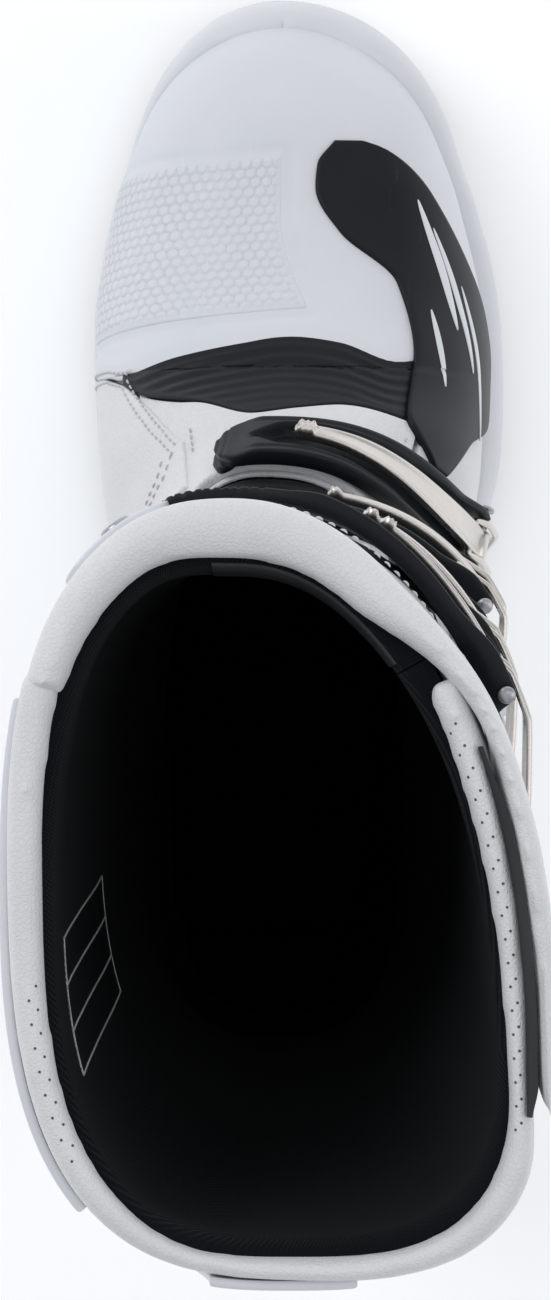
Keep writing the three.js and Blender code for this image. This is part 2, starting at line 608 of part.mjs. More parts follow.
// Black lattice over the shin: two bands that meet at the side, joined by curved ribs.
function makeShinFrame() {
  const heights = { low: FRAME_HIGH - 1.2, high: FRAME_HIGH };
  const tip = 268;
  const lowerEdge = (q) => lerp(tip - 6, 238, smoothstep(q, 31, 70));
  const upperEdge = (q) => lerp(tip + 6, 322, smoothstep(q, 31, 84));
  const band = (from, to) => panel({ u: [from, to], theta: [31, 104], ...heights });
  const lower = band(lowerEdge, (q) => lowerEdge(q) + 9);
  const upper = band((q) => upperEdge(q) - 7, upperEdge);
  const rib = (at) => panel({
    u: [(q) => lowerEdge(q) + 3, (q) => upperEdge(q) - 3], theta: [at, at + 6], ...heights
  });
  add(flap, "shin_frame", union([lower, upper, rib(52), rib(72), rib(98)]), BLACK_SHELL);
}

// ---- buckles ------------------------------------------------------------
// Every strap has its own running coordinates: `a` mm towards the lateral side from the
// lever pin, `w` mm across and `h` mm above the master surface.
function strapFrame(strap) {
  const u0 = strap.path(strap.pinTheta);
  const { alongU, alongTheta } = skinTangents(u0, strap.pinTheta);
  const perDegree = alongTheta.length();
  const centre = over(u0, strap.pinTheta, strap.base + PIN_LIFT);
  return { axis: alongU.clone().normalize(), perDegree, centre };
}

function onStrap(strap, theta, w, h) {
  const u = strap.path(theta);
  const scale = skinTangents(u, theta).alongU.length();
  return over(u + w / scale, theta, h);
}

const PIN_LIFT = 5.2;
const PIN_RAIL_LIFT = 7.6;
const LINK_REACH = 9;
const LINK_OFFSET = LEVER_HALF_WIDTH + 0.4 + WIRE_RADIUS;
const RAIL_INNER = LINK_OFFSET + WIRE_RADIUS + 0.84;
const EAR_REACH = 3.4;

// Catch plates lie just over the shells, and straps just over what they cross.
const PLATE_HEIGHT = SHELL_HIGH + 0.3;
const FOOT_STRAP = {
  name: "1",
  carrier: foot,
  path: curve([[-16, 131], [2, 134], [22, 136.5], [50, 142], [84, 146], [120, 147]]),
  base: TRIM_HIGH + 0.2,
  pinTheta: 24,
  tipTheta: 82,
  endTheta: 112,
  anchorTheta: 108,
  hookTheta: 3,
  baseTheta: -14,
};
const calfStrap = (name, z, shorter) => ({
  name,
  carrier: flap,
  path: () => z - FAN.z + FAN_END,
  base: FRAME_HIGH + 0.5,
  pinTheta: 37,
  tipTheta: 74 - shorter,
  endTheta: 104,
  anchorTheta: 122,
  hookTheta: 19.5,
  baseTheta: 5,
});
const STRAPS = [FOOT_STRAP, calfStrap("2", 218, 0), calfStrap("3", 273, 6), calfStrap("4", 324, 8)];

// Grid solid in strap coordinates; w and h limits may be functions of theta.
function strapSlab(strap, theta, w, h, steps) {
  return slab(steps[0], steps[1], (s, t, top) => {
    const at = lerp(theta[0], theta[1], s);
    const across = lerp(valueAt(w[0], at), valueAt(w[1], at), t);
    return onStrap(strap, at, across, valueAt(top ? h[1] : h[0], at));
  });
}

// Strap of tough plastic whose lateral end is the frame that carries the lever:
// two rails beside a sunk floor, which runs out into a flat strap past the lever tip.
function makeStrap(strap, frame) {
  const earEnd = strap.pinTheta - EAR_REACH / frame.perDegree;
  const narrowing = (q) => lerp(1, 0.72, smoothstep(q, strap.tipTheta + 8, strap.endTheta));
  const half = (q) => STRAP_HALF_WIDTH * narrowing(q);
  const inner = (q) => RAIL_INNER * narrowing(q);
  const ear = (q) => lerp(PIN_RAIL_LIFT, 3.8, smoothstep(q, strap.pinTheta + 5, strap.pinTheta + 14));
  const rail = (q) => lerp(ear(q), STRAP_WALL, smoothstep(q, strap.tipTheta + 3, strap.tipTheta + 9));
  const floor = () => STRAP_WALL;
  const profile = [
    { w: (q) => -half(q), h: rail },
    { w: (q) => -inner(q), h: rail },
    { w: (q) => -inner(q) + 0.1, h: floor },
    { w: (q) => inner(q) - 0.1, h: floor },
    { w: inner, h: rail },
    { w: half, h: rail },
  ];
  const body = slab(13, profile.length - 1, (s, t, top) => {
    const theta = lerp(earEnd, strap.anchorTheta - 3.5, s);
    const stop = profile[Math.round(t * (profile.length - 1))];
    return onStrap(strap, theta, stop.w(theta), strap.base + (top ? stop.h(theta) : 0));
  });
  const bore = rod(frame.centre, frame.axis, -30, 30, PIN_RADIUS + BORE_CLEARANCE, 10);
  add(strap.group, `strap_${strap.name}`, cut(body, [bore]), BLACK_SHELL);
}

// Clamp plate and screw head that hold the medial end of a strap.
function makeAnchor(strap) {
  const theta = [strap.anchorTheta - 3, strap.anchorTheta + 11];
  const plate = strapSlab(strap, theta, [-7.5, 7.5], [PLATE_HEIGHT + 0.5, strap.base + STRAP_WALL], [3, 1]);
  const middle = (theta[0] + theta[1]) / 2;
  const out = skinNormal(strap.path(middle), middle);
  const seat = onStrap(strap, middle, 0, strap.base + STRAP_WALL - 0.5);
  const head = rod(seat, out, 0, 2.4, 4.2, 10);
  const socket = rod(seat, out, 1.2, 4, 2, 6);
  add(strap.carrier, `strap_anchor_${strap.name}`, cut(union([plate, head]), [socket]), STEEL);
}

function linkBarCentre(strap, frame) {
  const theta = strap.pinTheta + LINK_REACH / frame.perDegree;
  return { theta, centre: onStrap(strap, theta, 0, strap.base + PIN_LIFT) };
}

// Lever arm with a boss on its pin, a boss for the link bar and a ridged finger tip.
function makeLever(strap, frame) {
  const low = strap.base + PIN_LIFT - 1;
  const arm = strapSlab(
    strap, [strap.pinTheta + 0.5, strap.tipTheta], [-LEVER_HALF_WIDTH, LEVER_HALF_WIDTH],
    [low, low + LEVER_WALL], [9, 1],
  );
  const { centre } = linkBarCentre(strap, frame);
  const boss = rod(frame.centre, frame.axis, -LEVER_HALF_WIDTH, LEVER_HALF_WIDTH, PIN_RADIUS + 1.4, 10);
  const linkBoss = rod(centre, frame.axis, -LEVER_HALF_WIDTH, LEVER_HALF_WIDTH, WIRE_RADIUS + 1.4, 8);
  const tipDegrees = 3 / frame.perDegree;
  const grip = strapSlab(
    strap, [strap.tipTheta - tipDegrees * 2.4, strap.tipTheta - tipDegrees * 0.4],
    [-LEVER_HALF_WIDTH, LEVER_HALF_WIDTH], [low + 1, low + LEVER_WALL + 1], [2, 1],
  );
  const pinBore = rod(frame.centre, frame.axis, -20, 20, PIN_RADIUS + BORE_CLEARANCE, 10);
  const linkBore = rod(centre, frame.axis, -20, 20, WIRE_RADIUS + BORE_CLEARANCE, 8);
  const lever = cut(union([arm, boss, linkBoss, grip]), [pinBore, linkBore]);
  add(strap.lever, `lever_${strap.name}`, lever, BRIGHT_METAL);
  const reach = STRAP_HALF_WIDTH + 0.4;
  const pin = rod(frame.centre, frame.axis, -reach, reach, PIN_RADIUS, 10);
  add(strap.group, `lever_pin_${strap.name}`, pin, STEEL);
}

// Wire link: a closed loop through the lever, over the pin and down to the catch.
function makeLink(strap, frame) {
  const bar = linkBarCentre(strap, frame);
  const height = (lift) => strap.base + lift;
  const crest = PIN_LIFT + PIN_RADIUS + WIRE_RADIUS + 0.8;
  const hookHeight = PLATE_HEIGHT + WIRE_RADIUS + 2.2;
  const stops = [
    [bar.theta, height(PIN_LIFT)], [strap.pinTheta + 2, height(crest)], [strap.pinTheta - 4, height(crest)],
    [lerp(strap.pinTheta, strap.hookTheta, 0.62), height(PIN_LIFT - 1.4)], [strap.hookTheta, hookHeight],
  ];
  const section = new THREE.Shape(
    Array.from({ length: 6 }, (_, i) => new THREE.Vector2(
      WIRE_RADIUS * Math.cos((i * Math.PI) / 3), WIRE_RADIUS * Math.sin((i * Math.PI) / 3),
    )),
  );
  const arm = (sign) => {
    const route = new THREE.CatmullRomCurve3(stops.map(([q, h]) => onStrap(strap, q, sign * LINK_OFFSET, h)));
    return new THREE.ExtrudeGeometry(section, { steps: 7, extrudePath: route, bevelEnabled: false });
  };
  const hook = onStrap(strap, strap.hookTheta, 0, hookHeight);
  const wide = LINK_OFFSET + WIRE_RADIUS * 0.9;
  const bars = [bar.centre, hook].map((at) => rod(at, frame.axis, -wide, wide, WIRE_RADIUS, 6));
  add(strap.link, `link_${strap.name}`, union([arm(1), arm(-1), ...bars]), BRIGHT_METAL);
}

// White catch block on the lateral side, with the lip that the link's bar meets.
function makeCatch(strap) {
  const low = PLATE_HEIGHT;
  const plate = strapSlab(
    strap, [strap.baseTheta, strap.hookTheta - 3], [-8, 8], [low, low + 2], [4, 1],
  );
  const lip = strapSlab(
    strap, [strap.hookTheta - 5.5, strap.hookTheta - 2.2], [-4.5, 4.5], [low + 1, low + 5.4], [2, 1],
  );
  const middle = lerp(strap.hookTheta, strap.baseTheta, 0.68);
  const out = skinNormal(strap.path(middle), middle);
  const seat = onStrap(strap, middle, 0, low);
  const hole = rod(seat, out, -3, 6, 2 + BORE_CLEARANCE, 8);
  const home = strap.carrier === foot ? foot : cuff;
  add(home, `catch_${strap.name}`, cut(union([plate, lip]), [hole]), WHITE_SHELL);
  const head = rod(seat, out, 2.3, 4.3, 4, 10);
  const shaft = rod(seat, out, 0.1, 3, 2, 8);
  const socket = rod(seat, out, 3.2, 6, 2, 6);
  add(home, `catch_screw_${strap.name}`, cut(union([head, shaft]), [socket]), STEEL);
}

function makeBuckle(strap) {
  strap.group = new THREE.Group();
  strap.lever = new THREE.Group();
  strap.link = new THREE.Group();
  strap.lever.add(strap.link);
  strap.group.add(strap.lever);
  strap.carrier.add(strap.group);
  const frame = strapFrame(strap);
  makeStrap(strap, frame);
  makeAnchor(strap);
  makeLever(strap, frame);
  makeLink(strap, frame);
  makeCatch(strap);
}

// ---- assembly -----------------------------------------------------------
makeSole();
makeFootbed();
makeFootUpper();
makeFootPanels();
makeHeelShell();
Object.keys(PIVOT_SIDES).forEach(makePivot);
makeCuffSoft();
makeCuffShells();
makeBellows();
makeFlap();
makeShinFrame();
STRAPS.forEach(makeBuckle);

const boot = new THREE.Group();
cuff.add(flap);
boot.add(foot, cuff);
const extent = new THREE.Box3().setFromObject(boot);
const middle = extent.getCenter(new THREE.Vector3());
boot.position.set(-middle.x, -middle.y, -extent.min.z);

export default boot;
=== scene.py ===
# %% [markdown]
# # An off-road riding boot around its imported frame
# The frame is the working model: solids, joints and sizes. This lesson covers it with what the
# eye sees: moulded shells, sewn panels, padded collars, a knitted lining and polished buckles.
# Everything is in metres and stays where the frame puts it.

# %% Load the frame
import json
import math

import bpy
import numpy as np
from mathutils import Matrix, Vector
from mathutils.bvhtree import BVHTree

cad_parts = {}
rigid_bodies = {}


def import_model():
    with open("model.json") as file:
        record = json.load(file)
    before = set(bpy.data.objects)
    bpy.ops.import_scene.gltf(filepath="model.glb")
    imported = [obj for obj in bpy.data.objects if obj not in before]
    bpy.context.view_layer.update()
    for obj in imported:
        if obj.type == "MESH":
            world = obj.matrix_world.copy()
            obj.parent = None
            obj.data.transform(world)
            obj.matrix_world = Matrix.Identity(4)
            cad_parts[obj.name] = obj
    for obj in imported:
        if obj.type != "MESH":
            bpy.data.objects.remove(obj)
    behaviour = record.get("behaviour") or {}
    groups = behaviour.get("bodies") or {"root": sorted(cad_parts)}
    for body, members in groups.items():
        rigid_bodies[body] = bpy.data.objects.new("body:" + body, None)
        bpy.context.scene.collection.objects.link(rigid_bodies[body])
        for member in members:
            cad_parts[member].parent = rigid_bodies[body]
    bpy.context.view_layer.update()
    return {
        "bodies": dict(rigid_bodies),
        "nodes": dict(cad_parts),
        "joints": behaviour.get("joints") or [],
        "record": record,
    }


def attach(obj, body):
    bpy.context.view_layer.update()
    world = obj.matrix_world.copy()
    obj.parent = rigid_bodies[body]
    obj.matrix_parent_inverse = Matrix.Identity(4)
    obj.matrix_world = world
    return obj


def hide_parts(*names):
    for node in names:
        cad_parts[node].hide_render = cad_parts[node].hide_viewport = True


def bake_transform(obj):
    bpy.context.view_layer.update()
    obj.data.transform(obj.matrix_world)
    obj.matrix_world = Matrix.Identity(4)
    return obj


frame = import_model()
nodes = frame["nodes"]
scene = bpy.context.scene
MM = 0.001

# %% [markdown]
# ## Curves and the master surface
# A boot is built on a last, a solid foot shape. The same idea is used here: one smooth surface,
# the last, is a function of two parameters, and every panel is a patch of it at some height.
# `u` runs from the toe over the instep and up the shin, `theta` goes round a section
# (0 outer side, 90 front, 180 inner side, 270 sole or calf).

# %% Smooth curves through a few knots
def curve(*knots):
    """Monotone cubic through (x, y) knots: it never swings past a knot, so shapes stay calm."""
    x, y = np.array(knots, float).T
    slope = np.diff(y) / np.diff(x)
    bend = np.zeros(len(x))
    bend[0], bend[-1] = slope[0], slope[-1]
    turning = slope[:-1] * slope[1:]
    mean = 2 * turning / np.where(turning > 0, slope[:-1] + slope[1:], 1)
    bend[1:-1] = np.where(turning > 0, mean, 0)

    def value(q):
        q = np.clip(np.asarray(q, float), x[0], x[-1])
        i = np.clip(np.searchsorted(x, q, side="right") - 1, 0, len(x) - 2)
        span = x[i + 1] - x[i]
        t = (q - x[i]) / span
        ends = y[i] * (1 + 2 * t) * (1 - t) ** 2 + y[i + 1] * t * t * (3 - 2 * t)
        return ends + span * (bend[i] * t * (1 - t) ** 2 + bend[i + 1] * t * t * (t - 1))

    return value


def ramp(x, low, high):
    """0 below `low`, 1 above `high`, and a smooth S between them."""
    t = np.clip((np.asarray(x, float) - low) / (high - low), 0, 1)
    return t * t * (3 - 2 * t)


def mix(a, b, t):
    return a + (b - a) * t


# %% The last's proportions, in millimetres before the last is centred
TOE_Y = 184
FAN_Y, FAN_Z = 75, 200
FAN_START = TOE_Y - FAN_Y
FAN_SPAN = 110
FAN_END = FAN_START + FAN_SPAN
CUFF_TOP = 375
COLLAR_TOP = CUFF_TOP - FAN_Z + FAN_END
COLLAR_BOTTOM = 338 - FAN_Z + FAN_END
LINING_TOP = COLLAR_TOP - 13
SKIN_FLOOR = 13.5
NOSE_WIDTH_LENGTH, NOSE_HEIGHT_LENGTH = 58, 46
NOSE_Z, NOSE_SETBACK = 42, 8
ORIGIN = np.array([-0.436, -18.036, 0])
PIVOT = np.array([0, -48, 115])

crest_height = curve((0, 70), (34, 76), (64, 84), (84, 93), (109, 111))
shin_reach = curve((0, 88.5), (13, 68), (27, 54.5), (40, 47), (60, 44), (90, 44))
heel_reach = curve((0, 186.5), (10, 189.3), (20, 198.2), (28, 210), (34, 221.5), (40, 236), (44, 244.5),
                   (48, 248), (52, 245), (57, 234), (62, 220), (68, 206), (75, 192), (82, 185.5), (90, 185))
shin_y = curve((200, 31), (230, 28.5), (270, 27.5), (320, 29), (372, 34))
calf_y = curve((200, -110), (230, -117), (270, -128), (310, -137), (345, -142), (372, -143))
lateral_half = curve((0, 34), (18, 37.8), (43, 41.4), (60, 45.5), (85, 50.7), (102, 52), (120, 50.5),
                     (133, 46), (158, 40), (182, 40), (201, 45), (219, 51), (269, 52), (319, 55), (387, 58))
medial_half = curve((0, 34), (18, 37.8), (43, 41.4), (60, 45.5), (85, 50.7), (102, 52), (120, 50.5),
                    (133, 46), (158, 40), (182, 39), (201, 43), (219, 46), (269, 50), (319, 55), (387, 59))
middle_x = curve((0, 2), (26, 3), (69, 3.7), (119, 4.5), (158, 2), (182, 0))
lateral_waist = curve((0, 0.62), (109, 0.68), (133, 0.7), (158, 0.68), (170, 0.6), (182, 0.5), (201, 0.44),
                      (219, 0.4), (269, 0.5), (319, 0.62), (387, 0.73))
medial_waist = curve((0, 0.62), (109, 0.68), (133, 0.7), (158, 0.68), (182, 0.5), (201, 0.46), (387, 0.49))
crest_x = curve((0, 0), (60, -3), (109, -6), (150, -6), (219, -4), (387, -10))
calf_x = curve((219, 0), (387, 3))
lateral_power = curve((0, 2.1), (60, 2.5), (150, 2.4), (219, 2.7), (269, 2.4), (387, 2.05))
medial_power = curve((0, 2.1), (60, 2.5), (150, 2.3), (219, 2.4), (387, 2.5))
sole_power = curve((0, 3.5), (109, 4), (150, 3.4), (182, 2.6), (219, 2.4), (387, 2.8))


def nose(u, length):
    """Quarter circle that rounds the toe over its first `length`."""
    t = np.clip(u / length, 0, 1)
    return np.sqrt(1 - (1 - t) ** 2)


def section_ends(u):
    """Front and back points (y, z) of section u: upright sections over the foot, sections that
    fan about one line round the ankle, and level sections up the leg."""
    turn = np.clip((u - FAN_START) / FAN_SPAN, 0, 1) * 90
    sin, cos = np.sin(np.radians(turn)), np.cos(np.radians(turn))
    foot, leg = u < FAN_START, u > FAN_END
    rise = nose(u, NOSE_HEIGHT_LENGTH)
    foot_y = TOE_Y - u - NOSE_SETBACK * (1 - np.clip(u / NOSE_HEIGHT_LENGTH, 0, 1)) ** 2
    leg_z = FAN_Z + u - FAN_END
    top = NOSE_Z + (crest_height(u) - NOSE_Z) * rise
    bottom = NOSE_Z - (NOSE_Z - SKIN_FLOOR) * rise
    near_y = np.where(foot, foot_y, np.where(leg, shin_y(leg_z), FAN_Y - shin_reach(turn) * sin))
    near_z = np.where(foot, top, np.where(leg, leg_z, FAN_Z - shin_reach(turn) * cos))
    far_y = np.where(foot, foot_y, np.where(leg, calf_y(leg_z), FAN_Y - heel_reach(turn) * sin))
    far_z = np.where(foot, bottom, np.where(leg, leg_z, FAN_Z - heel_reach(turn) * cos))
    return near_y, near_z, far_y, far_z


def last(u, theta):
    """Point of the master surface, in mm: each quarter of a section is a superellipse
    |c|^p + |s|^p = 1 stretched to the section's widest point, front point and back point."""
    u, theta = np.broadcast_arrays(np.asarray(u, float), np.asarray(theta, float))
    near_y, near_z, far_y, far_z = section_ends(u)
    c, s = np.cos(np.radians(theta)), np.sin(np.radians(theta))
    outer, front = c >= 0, s >= 0
    power = np.where(front, np.where(outer, lateral_power(u), medial_power(u)), sole_power(u))
    size = (np.abs(c) ** power + np.abs(s) ** power) ** (-1 / power)
    across, along = np.abs(c) * size, np.abs(s) * size
    waist = np.where(outer, lateral_waist(u), medial_waist(u))
    width = np.where(outer, lateral_half(u), -medial_half(u)) * nose(u, NOSE_WIDTH_LENGTH)
    tip_x = np.where(front, crest_x(u), calf_x(u))
    wide_y, wide_z = mix(near_y, far_y, waist), mix(near_z, far_z, waist)
    x = middle_x(u) + tip_x + (width - tip_x) * across
    y = mix(wide_y, np.where(front, near_y, far_y), along)
    z = mix(wide_z, np.where(front, near_z, far_z), along)
    return np.stack([x, y, z], -1)


def tangents(u, theta):
    step = 0.3
    back = np.maximum(u - step, 0.02)
    along_u = (last(u + step, theta) - last(back, theta)) / (u + step - back)[..., None]
    along_theta = (last(u, theta + step) - last(u, theta - step)) / (2 * step)
    return along_u, along_theta


def unit(v):
    return v / np.maximum(np.linalg.norm(v, axis=-1, keepdims=True), 1e-12)


def normal(u, theta):
    u, theta = np.broadcast_arrays(np.asarray(u, float), np.asarray(theta, float))
    along_u, along_theta = tangents(u, theta)
    out = unit(np.cross(along_theta, along_u))
    return np.where((u < 0.05)[..., None], [0.0, 1.0, 0.0], out)


def over(u, theta, height):
    """Point `height` mm outside the last, in metres and in the frame's own place."""
    u, theta, height = np.broadcast_arrays(*(np.asarray(v, float) for v in (u, theta, height)))
    return (last(u, theta) + normal(u, theta) * height[..., None] + ORIGIN) * MM


# %% [markdown]
# ## Turning grids into closed meshes
# numpy works out whole arrays of points, and `from_pydata` puts them in a mesh. A panel is a
# top grid and a bottom grid joined by a rim. Its outer edges are rounded as a moulded edge is:
# near the rim the top drops along a quarter circle, and the grid lines crowd together there.

# %% Mesh helpers
def new_piece(name, points, faces, uv=None, smooth=True):
    """Makes one object at the origin from points in metres and a list of faces."""
    mesh = bpy.data.meshes.new(name)
    mesh.from_pydata(points.reshape(-1, 3).tolist(), [], faces)
    if smooth:
        mesh.shade_smooth()
    if uv is not None:
        layer = mesh.uv_layers.new(name="UVMap")
        corner = np.empty(len(mesh.loops), np.int32)
        mesh.loops.foreach_get("vertex_index", corner)
        layer.data.foreach_set("uv", uv.reshape(-1, 2)[corner].ravel())
    mesh.validate()
    piece = bpy.data.objects.new(name, mesh)
    scene.collection.objects.link(piece)
    return piece


def grid_quads(columns, rows, wrap, offset=0, flip=False):
    """Quads of a columns x rows grid of points, as an (n, 4) array of indices."""
    i, j = np.meshgrid(np.arange(columns if wrap else columns - 1), np.arange(rows - 1), indexing="ij")
    nxt = (i + 1) % columns
    quads = np.stack([i * rows + j, nxt * rows + j, nxt * rows + j + 1, i * rows + j + 1], -1).reshape(-1, 4)
    return (quads[:, ::-1] if flip else quads) + offset


def shell_faces(columns, rows, wrap):
    """Top grid, bottom grid turned over, and the rim between them."""
    count = columns * rows
    top = grid_quads(columns, rows, wrap)
    bottom = grid_quads(columns, rows, wrap, count, flip=True)
    i = np.arange(columns if wrap else columns - 1)
    nxt = (i + 1) % columns
    low, high = i * rows, i * rows + rows - 1
    low_next, high_next = nxt * rows, nxt * rows + rows - 1
    rims = [np.stack([low + count, low_next + count, low_next, low], -1),
            np.stack([high_next + count, high + count, high, high_next], -1)]
    if not wrap:
        j = np.arange(rows - 1)
        far = (columns - 1) * rows + j
        rims += [np.stack([j + 1 + count, j + count, j, j + 1], -1),
                 np.stack([far + count, far + 1 + count, far + 1, far], -1)]
    return np.concatenate([top, bottom, *rims]).tolist()


def crowded(length, step, radius):
    """Positions 0..1 along `length`, about `step` apart, closer inside the edge radius."""
    edge = radius * (1 - np.cos(np.linspace(0, np.pi / 2, 5)))[:-1] if radius else np.zeros(1)
    count = max(int((length - 2 * radius) / step), 1)
    inner = np.linspace(radius, length - radius, count + 1)
    return np.unique(np.concatenate([edge, inner, length - edge])) / length


def edge_drop(distance, radius):
    """How far a rounded edge falls below the top at `distance` from the rim."""
    inside = np.clip(distance, 0, radius)
    return radius - np.sqrt(np.maximum(radius**2 - (radius - inside) ** 2, 0))


def limit(edge, x):
    return edge(x) if callable(edge) else np.full(np.shape(x), float(edge))


def patch_grid(u, theta, step, radius, by):
    """Grid of (u, theta) over a patch whose limits along one axis may follow the other, with the
    distances in mm from the start of each axis. `by` names the axis with the plain limits."""
    drive, follow = (u, theta) if by == "u" else (theta, u)
    d = np.linspace(*drive, 41)
    f0, f1 = limit(follow[0], d), limit(follow[1], d)
    f = mix(f0[:, None], f1[:, None], np.linspace(0, 1, 25)[None, :])
    d2 = np.broadcast_to(d[:, None], f.shape)
    points = last(*((d2, f) if by == "u" else (f, d2)))
    length_d = np.linalg.norm(np.diff(points, axis=0), axis=-1).sum(0).mean()
    length_f = np.linalg.norm(np.diff(points, axis=1), axis=-1).sum(1).max()
    a, b = crowded(length_d, step, radius), crowded(length_f, step, radius)
    dd = mix(drive[0], drive[1], a)[:, None] + 0 * b[None, :]
    ff = mix(limit(follow[0], dd), limit(follow[1], dd), b[None, :])
    along_d = a[:, None] * length_d + 0 * b
    along_f = np.linalg.norm(np.diff(last(*((dd, ff) if by == "u" else (ff, dd))), axis=1), axis=-1)
    along_f = np.concatenate([np.zeros((len(a), 1)), np.cumsum(along_f, 1)], 1)
    if by == "u":
        return dd.T, ff.T, along_f.T, along_d.T
    return ff, dd, along_d, along_f


def stacked(*grids):
    """Grids of points as one list."""
    return np.concatenate([grid.reshape(-1, 3) for grid in grids])


def panel(name, u, theta, low, high, step=2.2, radius=0.8, by="theta"):
    """Closed panel over a patch of the last. Heights are in mm, or functions of
    (u, theta, across, along), where across and along are distances in mm from two rims."""
    uu, tt, across, along = patch_grid(u, theta, step, radius, by)
    rim = np.minimum(np.minimum(across, across[-1:] - across), np.minimum(along, along[:, -1:] - along))
    top = high(uu, tt, across, along) if callable(high) else high
    bottom = low(uu, tt, across, along) if callable(low) else low
    top = np.maximum(top - edge_drop(rim, radius), bottom + 0.05)
    points = stacked(over(uu, tt, top), over(uu, tt, bottom + 0 * top))
    uv = np.stack([across, along], -1).reshape(-1, 2) * MM
    return new_piece(name, points, shell_faces(*uu.shape, False), np.concatenate([uv, uv]))


def sleeve(name, u, low, high, step=3.0, columns=120):
    """Closed sleeve round the whole boot from u[0] to u[1], which may be functions of theta."""
    theta = np.linspace(0, 360, columns, endpoint=False)
    rows = max(int((np.max(limit(u[1], theta)) - np.min(limit(u[0], theta))) / step), 2)
    t = np.linspace(0, 1, rows)
    uu = mix(limit(u[0], theta)[:, None], limit(u[1], theta)[:, None], t[None, :])
    tt = theta[:, None] + 0 * uu
    top = high(uu, tt) if callable(high) else high
    bottom = low(uu, tt) if callable(low) else low
    points = stacked(over(uu, tt, top + 0 * uu), over(uu, tt, bottom + 0 * uu))
    ring = last(uu, tt)
    round_steps = np.linalg.norm(np.diff(ring, axis=0), axis=-1)
    up_steps = np.linalg.norm(np.diff(ring, axis=1), axis=-1)
    across = np.concatenate([np.zeros((1, rows)), np.cumsum(round_steps, 0)])
    along = np.concatenate([np.zeros((columns, 1)), np.cumsum(up_steps, 1)], 1)
    uv = np.stack([across, along], -1).reshape(-1, 2) * MM
    return new_piece(name, points, shell_faces(columns, rows, True), np.concatenate([uv, uv]))

# %% [markdown]
# ## Finishes
# The boot has few colours, so the finishes must carry it. Moulded shells have a very fine
# texture from the steel mould, coated leather has a grain of small cells, the lining is a
# twill knit, and the aluminium levers are brushed along their length. Effects that several
# finishes share are node groups, built once and set differently in each material.

# %% Node helpers
def new_group(name, inputs, outputs):
    """An empty shader group with typed sockets."""
    group = bpy.data.node_groups.new(name, "ShaderNodeTree")
    for label, kind, value in inputs:
        socket = group.interface.new_socket(label, in_out="INPUT", socket_type=f"NodeSocket{kind}")
        socket.default_value = value
    for label, kind in outputs:
        group.interface.new_socket(label, in_out="OUTPUT", socket_type=f"NodeSocket{kind}")
    return group, group.nodes.new("NodeGroupInput"), group.nodes.new("NodeGroupOutput")


def math_node(tree, operation, a, b=None, c=None):
    node = tree.nodes.new("ShaderNodeMath")
    node.operation = operation
    for socket, value in zip(node.inputs, (a, b, c)):
        if value is None:
            continue
        if isinstance(value, (int, float)):
            socket.default_value = value
        else:
            tree.links.new(value, socket)
    return node.outputs[0]


def noise_node(tree, vector, scale, detail=3.0, rough=0.5):
    node = tree.nodes.new("ShaderNodeTexNoise")
    node.inputs["Detail"].default_value = detail
    node.inputs["Roughness"].default_value = rough
    if isinstance(scale, (int, float)):
        node.inputs["Scale"].default_value = scale
    else:
        tree.links.new(scale, node.inputs["Scale"])
    tree.links.new(vector, node.inputs["Vector"])
    return node.outputs["Fac"]


def object_coordinates(tree):
    return tree.nodes.new("ShaderNodeTexCoord").outputs["Object"]


def ramp_node(tree, value, low, high):
    """Maps low..high smoothly to 0..1."""
    node = tree.nodes.new("ShaderNodeMapRange")
    node.interpolation_type = "SMOOTHSTEP"
    node.inputs["From Min"].default_value = low
    node.inputs["From Max"].default_value = high
    tree.links.new(value, node.inputs["Value"])
    return node.outputs["Result"]


# %% Shared group: handling marks
def make_wear():
    """Scuffs: long thin scratches where two stretched noises cross a threshold, and broad
    smudges that change the gloss. Both fade with Amount."""
    group, given, gives = new_group("handling_marks", [("Amount", "Float", 0.5), ("Scale", "Float", 1.0)],
                                    [("Scratches", "Float"), ("Smudges", "Float")])
    place = object_coordinates(group)
    turned = group.nodes.new("ShaderNodeMapping")
    turned.inputs["Rotation"].default_value = (0.5, 0.3, 0.9)
    turned.inputs["Scale"].default_value = (900, 60, 60)
    group.links.new(place, turned.inputs["Vector"])
    streaks = ramp_node(group, noise_node(group, turned.outputs[0], given.outputs["Scale"], 2.0), 0.69, 0.74)
    where = ramp_node(group, noise_node(group, place, 14.0, 2.0), 0.5, 0.68)
    scratches = math_node(group, "MULTIPLY", math_node(group, "MULTIPLY", streaks, where),
                          given.outputs["Amount"])
    smudge = ramp_node(group, noise_node(group, place, 26.0, 5.0, 0.6), 0.35, 0.75)
    group.links.new(scratches, gives.inputs["Scratches"])
    group.links.new(math_node(group, "MULTIPLY", smudge, given.outputs["Amount"]), gives.inputs["Smudges"])
    return group


# %% Shared group: leather and moulded grain
def make_grain():
    """Cells from a Voronoi edge distance, broken up by fine noise, as a height from 0 to 1."""
    group, given, gives = new_group("grain", [("Cells", "Float", 900.0), ("Fine", "Float", 4000.0)],
                                    [("Height", "Float")])
    place = object_coordinates(group)
    cells = group.nodes.new("ShaderNodeTexVoronoi")
    cells.feature = "DISTANCE_TO_EDGE"
    group.links.new(place, cells.inputs["Vector"])
    group.links.new(given.outputs["Cells"], cells.inputs["Scale"])
    pebble = ramp_node(group, cells.outputs["Distance"], 0.0, 0.22)
    fine = noise_node(group, place, given.outputs["Fine"], 2.0)
    total = math_node(group, "MULTIPLY_ADD", fine, 0.35, math_node(group, "MULTIPLY", pebble, 0.65))
    group.links.new(total, gives.inputs["Height"])
    return group


